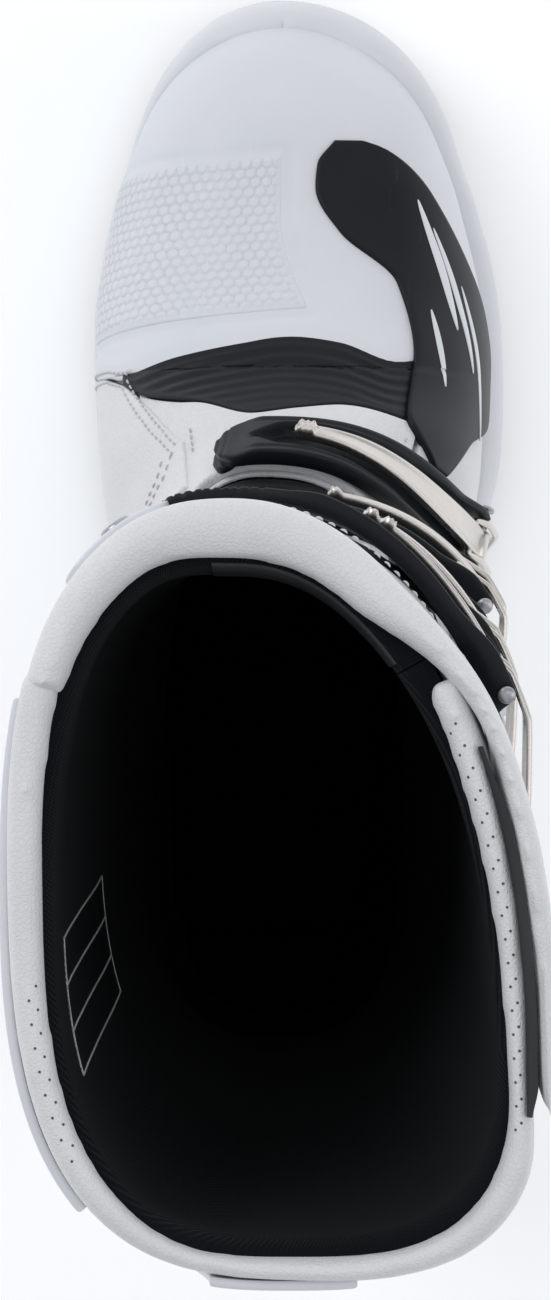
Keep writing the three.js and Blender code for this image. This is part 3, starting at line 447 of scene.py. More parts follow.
# %% Shared group: dust in hollows
def make_dust():
    """Grey haze that settles unevenly, from two noises of different size."""
    group, given, gives = new_group("dust", [("Amount", "Float", 0.1)], [("Mask", "Float")])
    place = object_coordinates(group)
    cloud = ramp_node(group, noise_node(group, place, 9.0, 4.0, 0.6), 0.4, 0.8)
    specks = ramp_node(group, noise_node(group, place, 1400.0, 1.0), 0.62, 0.72)
    total = math_node(group, "MULTIPLY_ADD", specks, 0.4, math_node(group, "MULTIPLY", cloud, 0.6))
    group.links.new(math_node(group, "MULTIPLY", total, given.outputs["Amount"]), gives.inputs["Mask"])
    return group


WEAR, GRAIN, DUST = make_wear(), make_grain(), make_dust()


# %% The material builder
def use(tree, group, **values):
    node = tree.nodes.new("ShaderNodeGroup")
    node.node_tree = group
    for label, value in values.items():
        node.inputs[label].default_value = value
    return node.outputs


def mix_colour(tree, factor, a, b):
    node = tree.nodes.new("ShaderNodeMix")
    node.data_type = "RGBA"
    tree.links.new(factor, node.inputs["Factor"])
    for socket, value in ((node.inputs[6], a), (node.inputs[7], b)):
        if isinstance(value, tuple):
            socket.default_value = (*value, 1)
        else:
            tree.links.new(value, socket)
    return node.outputs[2]


def finish(name, colour, roughness, other=None, metallic=0.0, grain=(900.0, 4000.0), depth=0.00008,
           wear=0.4, dust=0.06, dust_colour=(0.45, 0.43, 0.4), coat=0.0, sheen=0.0, shine=0.5, height=None):
    """Principled material. Colour runs between `colour` and `other` with a slow noise, then takes
    dust and scratches; roughness varies with smudges; Bump takes grain plus `height`."""
    material = bpy.data.materials.new(name)
    material.use_nodes = True
    tree = material.node_tree
    shader = tree.nodes["Principled BSDF"]
    place = object_coordinates(tree)
    drift = ramp_node(tree, noise_node(tree, place, 18.0, 4.0, 0.55), 0.3, 0.7)
    paint = mix_colour(tree, drift, colour, other or tuple(c * 0.93 for c in colour))
    paint = mix_colour(tree, use(tree, DUST, Amount=dust)["Mask"], paint, dust_colour)
    marks = use(tree, WEAR, Amount=wear)
    scratched = tuple(min(c * 1.6 + 0.03, 0.9) for c in colour)
    tree.links.new(mix_colour(tree, marks["Scratches"], paint, scratched), shader.inputs["Base Color"])
    gloss = math_node(tree, "MULTIPLY_ADD", marks["Smudges"], 0.12, roughness)
    tree.links.new(math_node(tree, "MULTIPLY_ADD", marks["Scratches"], 0.2, gloss),
                   shader.inputs["Roughness"])
    shader.inputs["Metallic"].default_value = metallic
    shader.inputs["Coat Weight"].default_value = coat
    shader.inputs["Sheen Weight"].default_value = sheen
    shader.inputs["Specular IOR Level"].default_value = shine
    relief = use(tree, GRAIN, Cells=grain[0], Fine=grain[1])["Height"]
    if height:
        relief = math_node(tree, "ADD", relief, height(tree))
    bump = tree.nodes.new("ShaderNodeBump")
    bump.inputs["Distance"].default_value = depth
    bump.inputs["Strength"].default_value = 0.6
    tree.links.new(relief, bump.inputs["Height"])
    tree.links.new(bump.outputs[0], shader.inputs["Normal"])
    return material


def uv_split(tree):
    node = tree.nodes.new("ShaderNodeSeparateXYZ")
    tree.links.new(tree.nodes.new("ShaderNodeUVMap").outputs[0], node.inputs[0])
    return node.outputs


def twill(tree):
    """Fine diagonal ribs of a knitted lining: a sine across the diagonal, times one along it."""
    u, v, _ = uv_split(tree)
    pitch = 0.0014
    across = math_node(tree, "MULTIPLY", math_node(tree, "ADD", u, v), 2 * math.pi / pitch)
    along = math_node(tree, "MULTIPLY", math_node(tree, "SUBTRACT", u, v), 2 * math.pi / (pitch * 0.7))
    rib = math_node(tree, "SINE", across)
    knot = math_node(tree, "SINE", along)
    return math_node(tree, "MULTIPLY_ADD", rib, 1.6, math_node(tree, "MULTIPLY", knot, 0.6))


def brushed(tree):
    """Hair lines of brushed metal: noise stretched along the piece's own v."""
    uv = tree.nodes.new("ShaderNodeUVMap").outputs[0]
    stretch = tree.nodes.new("ShaderNodeMapping")
    stretch.inputs["Scale"].default_value = (9000, 130, 1)
    tree.links.new(uv, stretch.inputs["Vector"])
    return math_node(tree, "MULTIPLY", noise_node(tree, stretch.outputs[0], 1.0, 3.0), 1.5)


WHITE = (0.80, 0.815, 0.84)
WHITE_SHELL = finish("white_moulded_shell", WHITE, 0.34, (0.76, 0.785, 0.82), grain=(1500.0, 5200.0),
                     depth=0.00002, wear=0.35, dust=0.05, coat=0.12)
WHITE_TOE = finish("white_rubbery_toe", (0.79, 0.80, 0.83), 0.46, (0.75, 0.77, 0.81), grain=(1800.0, 6000.0),
                   depth=0.00003, wear=0.25, dust=0.06)
WHITE_LEATHER = finish("white_leather", (0.83, 0.83, 0.835), 0.52, (0.77, 0.78, 0.79), grain=(760.0, 3600.0),
                       depth=0.00022, wear=0.3, dust=0.1, sheen=0.12)
BLACK_SHELL = finish("black_moulded_plastic", (0.006, 0.008, 0.011), 0.42, (0.009, 0.011, 0.014),
                     grain=(1400.0, 5200.0), depth=0.00004, wear=0.4, dust=0.004, shine=0.22)
BLACK_RUBBER = finish("black_rubber", (0.012, 0.013, 0.015), 0.66, (0.02, 0.021, 0.023),
                      grain=(1100.0, 4200.0), depth=0.00008, wear=0.35, dust=0.1)
# The lining is near-black, darker than the knit's own black: partly its colour, partly painted shade for the
# inside of the boot.
LINING = finish("lining_knit", (0.0022, 0.0042, 0.006), 0.9, (0.0035, 0.006, 0.008), grain=(2400.0, 6400.0),
                depth=0.0003, wear=0.0, dust=0.006, sheen=0.04, shine=0.15, height=twill)
BINDING = finish("smooth_binding", (0.012, 0.014, 0.016), 0.5, (0.018, 0.02, 0.022), grain=(1600.0, 5000.0),
                 depth=0.00005, wear=0.2, dust=0.04)
BRIGHT = finish("brushed_aluminium", (0.74, 0.70, 0.65), 0.24, (0.66, 0.63, 0.59), metallic=1.0,
                grain=(3000.0, 8000.0), depth=0.00002, wear=0.6, dust=0.02, height=brushed)
STEEL = finish("zinc_plated_steel", (0.50, 0.51, 0.53), 0.32, (0.42, 0.43, 0.45), metallic=1.0,
               grain=(2600.0, 7000.0), depth=0.00002, wear=0.5, dust=0.04)
THREAD = finish("white_thread", (0.74, 0.745, 0.75), 0.7, (0.62, 0.63, 0.64), grain=(5000.0, 9000.0),
                depth=0.0001, wear=0.0, dust=0.1, sheen=0.3)
# The footbed is near-black, darker than the knit's own black: partly its colour, partly painted shade deep in
# the boot.
FOOTBED = finish("footbed_knit", (0.002, 0.003, 0.004), 0.95, (0.003, 0.004, 0.005), depth=0.0002, wear=0.0,
                 dust=0.0, shine=0.05, height=twill)
BOARD = finish("pressed_board", (0.20, 0.16, 0.12), 0.85, (0.14, 0.11, 0.08), depth=0.0002)
print(len(bpy.data.materials), "materials")


def dress(piece, material, body, *nodes, slot=None):
    """Gives a piece its finish and its body, and hides the frame nodes it stands for."""
    piece.data.materials.clear()
    piece.data.materials.append(material)
    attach(piece, body)
    if nodes:
        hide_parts(*nodes)
    return piece

# %% [markdown]
# ## Camera, floor and light
# The boot is seen from straight above, with the toe at the top, from nearly two metres. The
# light is soft and comes from all round, as in a white tent: a pale world and large area lamps.

# %% Camera
CAMERA_HEIGHT = 1.812
SENSOR, LENS = 36.0, 172.7
camera_data = bpy.data.cameras.new("top_camera")
camera_data.sensor_fit = "VERTICAL"
camera_data.sensor_height = SENSOR
camera_data.lens = LENS
camera_data.clip_end = 20
camera = bpy.data.objects.new("top_camera", camera_data)
camera.location = (ORIGIN[0] * MM, ORIGIN[1] * MM, CAMERA_HEIGHT)
scene.collection.objects.link(camera)
scene.camera = camera

# %% Floor and lamps
def plain_material(name, colour, roughness):
    material = bpy.data.materials.new(name)
    material.use_nodes = True
    shader = material.node_tree.nodes["Principled BSDF"]
    shader.inputs["Base Color"].default_value = (*colour, 1)
    shader.inputs["Roughness"].default_value = roughness
    return material


floor_points = np.array([[-3, -3, -0.0005], [3, -3, -0.0005], [3, 3, -0.0005], [-3, 3, -0.0005]])
floor = new_piece("floor", floor_points, [(0, 1, 2, 3)], smooth=False)
FLOOR_GLOW = 0.32
pale_floor = plain_material("pale_floor", (0.9, 0.905, 0.91), 0.8)
pale_floor.node_tree.nodes["Principled BSDF"].inputs["Emission Color"].default_value = (0.97, 0.985, 1, 1)
pale_floor.node_tree.nodes["Principled BSDF"].inputs["Emission Strength"].default_value = FLOOR_GLOW
floor.data.materials.append(pale_floor)


def lamp(name, place, aim, size, watts, colour=(1, 1, 1)):
    light = bpy.data.lights.new(name, "AREA")
    light.shape = "RECTANGLE"
    light.size, light.size_y = size
    light.energy = watts
    light.color = colour
    holder = bpy.data.objects.new(name, light)
    holder.location = place
    direction = np.array(aim, float) - np.array(place, float)
    holder.rotation_euler = Vector(direction).to_track_quat("-Z", "Y").to_euler()
    scene.collection.objects.link(holder)


lamp("key_left", (-1.3, 0.9, 1.5), (0, 0, 0.15), (1.0, 1.0), 11, (0.97, 0.985, 1.0))
lamp("fill_right", (1.5, -0.2, 1.2), (0, 0, 0.2), (1.1, 1.6), 5, (1.0, 0.99, 0.97))
lamp("toe_light", (0.2, 1.6, 0.9), (0, 0.1, 0.1), (1.6, 0.8), 3)
lamp("top_light", (0.5, 0.1, 2.3), (0, 0, 0.2), (0.9, 0.9), 2)
world = bpy.data.worlds.new("tent")
world.use_nodes = True
world.node_tree.nodes["Background"].inputs[0].default_value = (0.93, 0.95, 1.0, 1)
world.node_tree.nodes["Background"].inputs[1].default_value = 0.5
scene.world = world
scene.view_settings.view_transform = "Standard"

# %% [markdown]
# ## The cup sole and its tread
# A riding boot stands in a rubber cup: a thick sole whose wall climbs up round the shells and
# rises at the toe into a bumper. The wall is lofted between two lines: the outline of the sole
# below, and the line where the cup meets the shell above.

# %% Outline of the sole and the line where the cup meets the shell
SOLE_LENGTH = 312
SOLE_TOE_LENGTH, SOLE_HEEL_LENGTH = 60, 44
SOLE_MIDDLE_X = 2
OUTSOLE_HEIGHT, ARCH_HEIGHT = 9, 4
SHELL_HIGH = 3.0
RAND_FRONT, RAND_BACK = 5.0, 163.0
lateral_sole = curve((0, 54), (42, 52.5), (59, 56), (76, 60.5), (93, 62.8), (110, 63.4), (128, 62.8),
                     (145, 59.5), (170, 51), (200, 46), (250, 46), (312, 44))
medial_sole = curve((0, 48), (16, 45.5), (42, 45), (59, 48.5), (76, 52), (93, 54), (128, 52.5), (145, 50.5),
                    (170, 46.5), (200, 44), (250, 44), (312, 43))
rand_height = curve((-130, 44), (-80, 38), (0, 30), (100, 32), (141, 40), (158, 47), (168, 53), (175, 57))


def sole_half(d, lateral, inset=0.0):
    """Half width of the sole at d mm from the toe tip: a side curve closed by two quarter circles."""
    half = np.where(lateral, lateral_sole(d), medial_sole(d))
    ends = nose(d, SOLE_TOE_LENGTH) * nose(SOLE_LENGTH - d, SOLE_HEEL_LENGTH)
    return np.maximum(half * ends - inset, 0)


def rand_line(count):
    """Closed line on the shell, front to heel down the outer side and back up the inner side.
    At each section the shell is followed down from its top until it sinks to rand_height."""
    t = np.linspace(0, 1, count)
    u = mix(RAND_FRONT, RAND_BACK, (1 - np.cos(np.pi * t)) / 2)
    sweep = np.linspace(0, 180, 361)
    sides = []
    for sign in (1, -1):
        theta = 90 - sign * sweep[None, :]
        line = last(u[:, None], theta) + normal(u[:, None], theta) * (SHELL_HIGH + 0.1)
        above = line[..., 2] - rand_height(line[..., 1])
        first = np.argmax(above < 0, axis=1)
        first = np.where((above < 0).any(1), np.maximum(first, 1), 360)
        rows = np.arange(count)
        a, b = above[rows, first - 1], above[rows, first]
        share = np.clip(a / np.maximum(a - b, 1e-6), 0, 1)[:, None]
        sides.append(mix(line[rows, first - 1], line[rows, first], share))
    return sides


def cup_loops(count=110):
    """Rand line and sole outline as matching closed loops, with the outline at rand's own y share."""
    lateral, medial = rand_line(count)
    loops = []
    for line, is_lateral in ((lateral, True), (medial[::-1][1:-1], False)):
        y0, y1 = lateral[0, 1], lateral[-1, 1]
        d = SOLE_LENGTH * np.clip((y0 - line[:, 1]) / (y0 - y1), 0, 1)
        x = SOLE_MIDDLE_X + np.where(is_lateral, 1, -1) * sole_half(d, is_lateral)
        loops.append((line, np.stack([x, TOE_Y + 0.7 - d, 0 * d], -1)))
    return np.concatenate([loops[0][0], loops[1][0]]), np.concatenate([loops[0][1], loops[1][1]])


# %% Lofting closed bodies from rings
def ring_faces(rings, points, closed_path):
    """Quads between successive closed rings of `points` points each."""
    i, j = np.meshgrid(np.arange(rings if closed_path else rings - 1), np.arange(points), indexing="ij")
    ni, nj = (i + 1) % rings, (j + 1) % points
    return np.stack([i * points + j, i * points + nj, ni * points + nj, ni * points + j], -1).reshape(-1, 4)


def signed_volume(points, faces):
    """Volume inside a closed surface by the divergence theorem, one tetrahedron per triangle."""
    total = 0.0
    for face in faces:
        a, b, c = (points[face[:, k]] for k in (0, 1, 2))
        total += np.einsum("ij,ij->i", a, np.cross(b, c)).sum()
        if face.shape[1] == 4:
            d = points[face[:, 3]]
            total += np.einsum("ij,ij->i", a, np.cross(c, d)).sum()
    return total / 6


def loft(name, rings, closed_path=False, smooth=True, scale=MM, shift=ORIGIN):
    """Closed body through rings (sections, points, 3): quads between them and a fan at each end."""
    rings = (np.asarray(rings, float) + shift) * scale
    sections, count, _ = rings.shape
    quads = ring_faces(sections, count, closed_path)
    points, fans = rings.reshape(-1, 3), np.zeros((0, 3), int)
    if not closed_path:
        hubs = np.stack([rings[0].mean(0), rings[-1].mean(0)])
        j = np.arange(count)
        hub, nxt, far = len(points), (j + 1) % count, (sections - 1) * count
        fans = np.concatenate([np.stack([nxt, j, 0 * j + hub], -1),
                               np.stack([far + j, far + nxt, 0 * j + hub + 1], -1)])
        points = np.concatenate([points, hubs])
    if signed_volume(points, [quads, fans]) < 0:
        quads, fans = quads[:, ::-1], fans[:, ::-1]
    along = np.concatenate([[0], np.cumsum(np.linalg.norm(np.diff(rings.mean(1), axis=0), axis=-1))])
    girth = np.linalg.norm(np.roll(rings, -1, 1) - rings, axis=-1).sum(1).mean()
    grid = np.broadcast_arrays(np.linspace(0, girth, count)[None, :], along[:, None])
    uv = np.stack(grid, -1).reshape(-1, 2)
    uv = np.concatenate([uv, np.zeros((len(points) - len(uv), 2))])
    return new_piece(name, points, quads.tolist() + fans.tolist(), uv, smooth)


# %% Cup sole
def cup_profile(rand, outline):
    """Rings from the inside of the floor, out under the wall, up it and over the rim: the wall
    is a quarter of a superellipse between the outline and the rand line."""
    floor_z = OUTSOLE_HEIGHT + 0.3
    up = np.array([0.0, 0.0, 1.0])
    inward = unit(rand * [1, 1, 0] - outline * [1, 1, 0] + 1e-6)
    middle = np.array([SOLE_MIDDLE_X, 30.0, 0.0])
    rings = [middle + (outline - middle) * 0.2 + up * floor_z,
             middle + (outline - middle) * 0.9 + up * floor_z]
    rings += [outline + inward * 1.2 + up * (floor_z + 0.1), outline + inward * 0.35 + up * (floor_z + 0.5)]
    top = rand[:, 2:3]
    for share in np.linspace(0.06, 0.5, 6):
        rings.append(outline + up * (floor_z + (top - floor_z) * share) + inward * 0.4 * np.sin(share * 6))
    for turn in np.linspace(0.1, 1, 12) * np.pi / 2:
        out = np.cos(turn) ** 0.75
        rise = 0.5 + 0.5 * np.sin(turn) ** 0.85
        level = floor_z + (top - floor_z) * rise
        rings.append(mix(rand * [1, 1, 0], outline, out) + up * level)
    rings.append(rand + inward * 0.8 - up * 0.5)
    rings.append(rand + inward * 1.6 - up * 2.4)
    rings.append(middle + (rand - middle) * [0.85, 0.9, 0] + up * (floor_z + 3))
    rings.append(middle + (rand - middle) * [0.2, 0.2, 0] + up * (floor_z + 3))
    return np.array(rings)


rand, outline = cup_loops()
cup = loft("cup_sole", cup_profile(rand, outline))
dress(cup, WHITE_TOE, "foot", "midsole", slot="white_shell")
print("cup sole", len(cup.data.polygons), "faces")


# %% Tread
def tread_depth(x, d):
    """Height of the rubber's underside: bars across with a zigzag, split by grooves along, a
    bald arch, and an unbroken rim. 0 is the ground and 3.2 the bottom of a groove."""
    zigzag = 5 * np.abs(((x / 26) % 1) - 0.5)
    bar = np.abs(((d + zigzag) / 13) % 1 - 0.5) * 2
    split = np.abs(((x - SOLE_MIDDLE_X) / 19 + 0.5) % 1 - 0.5) * 2
    block = ramp(bar, 0.16, 0.3) * ramp(split, 0.07, 0.16)
    return 3.2 * (1 - block)


def make_outsole(columns=120, rows=300):
    """Underside as a height field over the outline, closed by a flat top."""
    s = np.sin(np.linspace(-np.pi / 2, np.pi / 2, columns))[:, None]
    d = SOLE_LENGTH / 2 * (1 - np.cos(np.linspace(0.04, np.pi - 0.04, rows)))[None, :]
    half = np.where(s > 0, sole_half(d, True, 1.5), sole_half(d, False, 1.5))
    x = SOLE_MIDDLE_X + half * s
    y = TOE_Y + 0.7 - d + 0 * s
    edge = (1 - np.abs(s)) * half
    depth = tread_depth(x, d) * ramp(edge, 2.0, 4.0) * ramp(np.minimum(d, SOLE_LENGTH - d), 4, 8)
    arch = ramp(y, -64, -60) * (1 - ramp(y, 6, 10))
    low = np.maximum(depth * (1 - arch), ARCH_HEIGHT * arch)
    low = low + 1.2 * (1 - ramp(edge, 0, 1.5))
    low = low + 2.5 * (1 - ramp(d, 0, 30))
    top = np.stack([x, y, 0 * x + OUTSOLE_HEIGHT], -1)
    under = np.stack([x, y, np.minimum(low, OUTSOLE_HEIGHT - 1)], -1)
    points = (np.concatenate([under.reshape(-1, 3), top.reshape(-1, 3)]) + ORIGIN) * MM
    faces = np.array(shell_faces(columns, rows, False))
    if signed_volume(points, [faces]) < 0:
        faces = faces[:, ::-1]
    return new_piece("tread", points, faces.tolist())


tread = dress(make_outsole(), BLACK_RUBBER, "foot", "outsole", slot="black_rubber")
SEAT_HALF_WIDTH, SEAT_BACK, SEAT_FRONT, SEAT_FLOOR = 0.027, -0.124, 0.1, 0.017


def darken_seat(sole):
    """The cup sole stands up through the lining inside this box at the heel, more than it should. Its
    faces there take the near-black footbed finish: partly the footbed's colour, partly painted shade. Metres."""
    sole.data.materials.append(FOOTBED)
    count = 0
    for face in sole.data.polygons:
        x, y, z = face.center
        if abs(x) < SEAT_HALF_WIDTH and SEAT_BACK < y < SEAT_FRONT and z > SEAT_FLOOR:
            face.material_index = 1
            count += 1
    return count


print("heel seat", darken_seat(bpy.data.objects["cup_sole"]), "faces")
tread.data.set_sharp_from_angle(angle=math.radians(40))
for node, look in (("shank", STEEL), ("insole_board", BOARD)):
    nodes[node].data.materials.clear()
    nodes[node].data.materials.append(look)
print("tread", len(tread.data.polygons), "faces")

# %% [markdown]
# ## The foot: upper, toe shell and panels
# Over a coated leather upper lie moulded shells and sewn panels. Each is a patch of the last at
# its own height. Relief such as the hexagon grip is real geometry: the height of the top grid is
# a function of the distances across and along the patch, in millimetres.

# %% Heights shared with the frame
UPPER_WALL, LINING_WALL = 1.3, 4.4
INNER_TOP = -UPPER_WALL - 0.5
FLAP_LATERAL, FLAP_MEDIAL, FLAP_LIFT = 45, 149, 18
PIVOT_U = 177.5


def sin_deg(theta):
    return np.sin(np.radians(theta))


def foot_edge(theta):
    """Top of the foot part at the ankle, higher behind than in front."""
    return 173.5 - 22.5 * sin_deg(theta)


def cuff_edge(theta):
    s = sin_deg(theta)
    return 181 + np.where(s > 0, 17, 22) * s * s


def flap_edge(theta):
    return cuff_edge(theta) + FLAP_LIFT * sin_deg(theta) ** 2


# %% Upper and lining of the foot
upper = sleeve("foot_upper", (0.0, lambda q: foot_edge(q)), -UPPER_WALL, 0.0)
dress(upper, WHITE_LEATHER, "foot", "lower_upper", slot="white_leather")
inner = sleeve("foot_lining", (2.0, lambda q: foot_edge(q) - 1), INNER_TOP - LINING_WALL, INNER_TOP)
dress(inner, LINING, "foot", "lower_lining", slot="black_mesh")


def footbed_inside(u, theta, across, along):
    """Cupped footbed with shallow ribs under the toes and a raised arch on the inner side."""
    ribs = 0.4 * np.cos(along * 2 * np.pi / 6) * ramp(u, 20, 30) * (1 - ramp(u, 62, 72))
    arch = 2.0 * ramp(theta, 240, 215) * ramp(u, 80, 105) * (1 - ramp(u, 120, 140))
    return INNER_TOP - LINING_WALL - 3.4 + ribs - arch


bed = panel("footbed_cloth", (7, 161), (214, 326), footbed_inside, INNER_TOP - LINING_WALL + 0.2, step=2.2,
            radius=0.6)
dress(bed, FOOTBED, "foot", "footbed", slot="black_mesh")


# %% Toe shell
def pad_start(q):
    return 47 + 5 * (q - 90) / 75


def pad_end(q):
    return 92 + 7 * (q - 80) / 90


toe_end = curve((-24, 101), (30, 101.5), (46, 105), (57, 107), (72, 102), (84, 100.5), (100, 102.5),
                (119, 105.5), (143, 109.5), (160, 108.5), (204, 107))
pad_side = curve((44, 88.5), (65, 88), (75, 86), (84, 83), (93, 79.5), (99, 78.5))


def toe_height(u, theta, across, along):
    """The shell swells a little towards its middle and has a shallow channel round the grip pad,
    and a soft bead along its rear edge."""
    wall = SHELL_HIGH + 0.5 * ramp(u, 10, 40) * (1 - ramp(u, 80, 98))
    side = np.minimum(np.minimum(u - pad_start(theta), pad_end(theta) - u), (theta - pad_side(u)) * 0.75)
    groove = np.exp(-(((side + 1.6) / 0.8) ** 2)) * ramp(theta, 72, 78)
    bead = 0.35 * np.exp(-(((toe_end(theta) - 4 - u) / 1.5) ** 2)) * ramp(theta, 56, 66)
    return wall - 0.55 * groove + bead


toe = panel("toe_cap_shell", (0.0, toe_end), (-24, 204), 0.3, toe_height, step=1.5, radius=1.0)
dress(toe, WHITE_TOE, "foot", "toe_shell", slot="white_shell")


# %% Grip pad of raised hexagons
HEX_PITCH = 3.3


def hexagons(x, y):
    """1 on a hexagon, 0 in the groove: distance to the nearest centre of a triangular lattice,
    measured as the largest of the three projections that bound a hexagon."""
    row = HEX_PITCH * math.sqrt(3) / 2
    best = np.full(np.shape(x), 1e9)
    for shift in (0, 1):
        cy = 2 * row * np.round((y - shift * row) / (2 * row)) + shift * row
        cx = HEX_PITCH * np.round((x - shift * HEX_PITCH / 2) / HEX_PITCH) + shift * HEX_PITCH / 2
        dx, dy = np.abs(x - cx), np.abs(y - cy)
        best = np.minimum(best, np.maximum(dx, dx / 2 + dy * math.sqrt(3) / 2))
    return 1 - ramp(best, HEX_PITCH * 0.36, HEX_PITCH * 0.5)


def pad_height(u, theta, across, along):
    """Hexagons fade at the rim. Outside its curved side the pad sinks into the shell."""
    side = (theta - pad_side(u)) * 0.75
    rim = np.minimum(np.minimum(side, across[-1:] - across), np.minimum(along, along[:, -1:] - along))
    raised = 3.62 + 0.55 * hexagons(across, along) * ramp(rim, 0.8, 2.4)
    return mix(2.2, raised, ramp(side, -0.2, 0.7))


pad = panel("shift_grip_pad", (pad_start, pad_end), (77, 166), 1.6, pad_height, step=0.42, radius=0.9)
dress(pad, WHITE_TOE, "foot", "shift_pad", slot="white_shell")
print("grip pad", len(pad.data.polygons), "faces")

# %% Black side panel of the toe, and its pale flashes
side_outer = curve((43, 64), (46, 53), (53, 43), (63, 35), (78, 25), (91, 14), (104, 8), (113, 8), (121, 30),
                   (130, 38))
side_inner = curve((43, 70), (50, 77), (57, 78), (70, 71), (84, 56), (103, 52), (120, 54), (130, 42))
side_panel = panel("toe_side_panel_skin", (43.6, 129.4), (side_outer, side_inner), 2.6, 4.7, step=1.4,
                   radius=0.9, by="u")
dress(side_panel, BLACK_SHELL, "foot", "toe_side_panel", slot="black_shell")


def flash(name, u, start, width):
    """Thin raised stripe that runs along u; its theta drifts from start[0] to start[1] and its width
    tapers to points at both ends."""
    def centre(at):
        return mix(start[0], start[1], (at - u[0]) / (u[1] - u[0]))

    def half(at):
        return 0.12 + width * np.sin(np.pi * np.clip((at - u[0]) / (u[1] - u[0]), 0, 1)) ** 0.6

    stripe = panel(name, u, (lambda at: centre(at) - half(at), lambda at: centre(at) + half(at)), 4.5, 4.95,
                   step=0.8, radius=0.2, by="u")
    dress(stripe, WHITE_SHELL, "foot", slot="white_shell")


FLASHES = [((60, 97), (46, 38), 1.4), ((68, 108), (42, 31), 1.1), ((84, 119), (34, 24), 0.9),
           ((92, 112), (47, 43), 0.8)]
for number, (extent, drift, width) in enumerate(FLASHES, 1):
    flash(f"side_flash_{number}", extent, drift, width)


# %% Flex panel, tongue and quarters
def flex_height(u, theta, across, along):
    """Four soft folds run round the instep where the boot bends with every step."""
    folds = ramp(along, 2, 5) * (1 - ramp(along - along[:, -1:], -4, -1)) * ramp(across, 4, 14)
    return 2.9 + 0.2 * np.cos(along * 2 * np.pi / 4.4) * folds


flex_end = curve((44, 121.5), (54, 120.5), (70, 118.5), (82, 120), (96, 122), (112, 117.5), (132, 113.6),
                 (143, 110.4))
flex = panel("flex_band", (lambda q: toe_end(q) - 1.6, flex_end), (44, 142.8), 0.3, flex_height, step=0.9,
             radius=0.6)
dress(flex, BLACK_SHELL, "foot", "flex_panel", slot="black_shell")
tongue = panel("instep_tongue_skin", (lambda q: flex_end(q) + 0.2, lambda q: foot_edge(q) - 1), (50, 136),
               0.3, lambda u, theta, across, along: 3.0 - 0.9 * ramp(theta, 112, 122), step=1.4, radius=1.0)
dress(tongue, WHITE_LEATHER, "foot", "instep_tongue", slot="white_leather")


quarter_start = curve((119, 129), (121, 127), (132, 116), (143, 110.6), (160, 108.8), (204, 107.3))


medial_quarter = panel("quarter_medial_skin", (quarter_start, 147.5), (119.4, 203), 0.3, 3.3, step=1.4,
                       radius=0.9)
dress(medial_quarter, WHITE_LEATHER, "foot", "quarter_panel_medial", slot="white_leather")
lateral_quarter = panel("quarter_lateral_skin", (101.0, 147.5), (-22, 48.5), 0.3, 2.9, step=1.6, radius=0.9)
dress(lateral_quarter, WHITE_LEATHER, "foot", "quarter_panel_lateral", slot="white_leather")


# %% [markdown]
# ## Stitches
# A row of stitches is one small capsule repeated along a line. It has few faces, because there
# are hundreds of them, and all the capsules of a row are one mesh made in one go with numpy.

# %% Stitch rows
def walk(path, spacing):
    """Points (u, theta) every `spacing` mm along a polyline of (u, theta) knots."""
    knots = np.array(path, float)
    t = np.linspace(0, len(knots) - 1, 60 * len(knots))
    u = np.interp(t, np.arange(len(knots)), knots[:, 0])
    theta = np.interp(t, np.arange(len(knots)), knots[:, 1])
    run = np.concatenate([[0], np.cumsum(np.linalg.norm(np.diff(last(u, theta), axis=0), axis=-1))])
    at = np.arange(spacing / 2, run[-1], spacing)
    return np.interp(at, run, u), np.interp(at, run, theta)


def stitches(name, path, height, body, length=2.1, spacing=3.0, radius=0.34, material=None):
    """Capsules laid end to end: each is three rings of six points and two tips, bowed upwards."""
    u, theta = walk(path, spacing)
    centre = over(u, theta, height) / MM
    out = normal(u, theta)
    ahead = unit(np.gradient(centre, axis=0))
    side = unit(np.cross(out, ahead))
    ring = np.linspace(0, 2 * np.pi, 6, endpoint=False)
    shape = [(-0.5, 0.0, -0.25), (-0.32, 0.8, 0.0), (0.0, 1.0, 0.12), (0.32, 0.8, 0.0), (0.5, 0.0, -0.25)]
    points, faces = [], []
    for along, fat, lift in shape:
        base = centre + ahead * along * length + out * lift
        if fat:
            spokes = np.cos(ring)[None, :, None] * side[:, None] + np.sin(ring)[None, :, None] * out[:, None]
            points.append(base[:, None] + spokes * radius * fat)
        else:
            points.append(base[:, None])
    cloud = np.concatenate(points, axis=1)
    for k in range(6):
        n = (k + 1) % 6
        faces += [(0, 1 + k, 1 + n), (19, 13 + n, 13 + k)]
        faces += [(1 + r * 6 + k, 7 + r * 6 + k, 7 + r * 6 + n) for r in (0, 1)]
        faces += [(1 + r * 6 + k, 7 + r * 6 + n, 1 + r * 6 + n) for r in (0, 1)]
    one = np.array(faces)
    if signed_volume(cloud[0], [one]) < 0:
        one = one[:, ::-1]
    every = (one[None] + 20 * np.arange(len(u))[:, None, None]).reshape(-1, 3)
    return dress(new_piece(name, cloud.reshape(-1, 3) * MM, every.tolist()), material or THREAD, body)


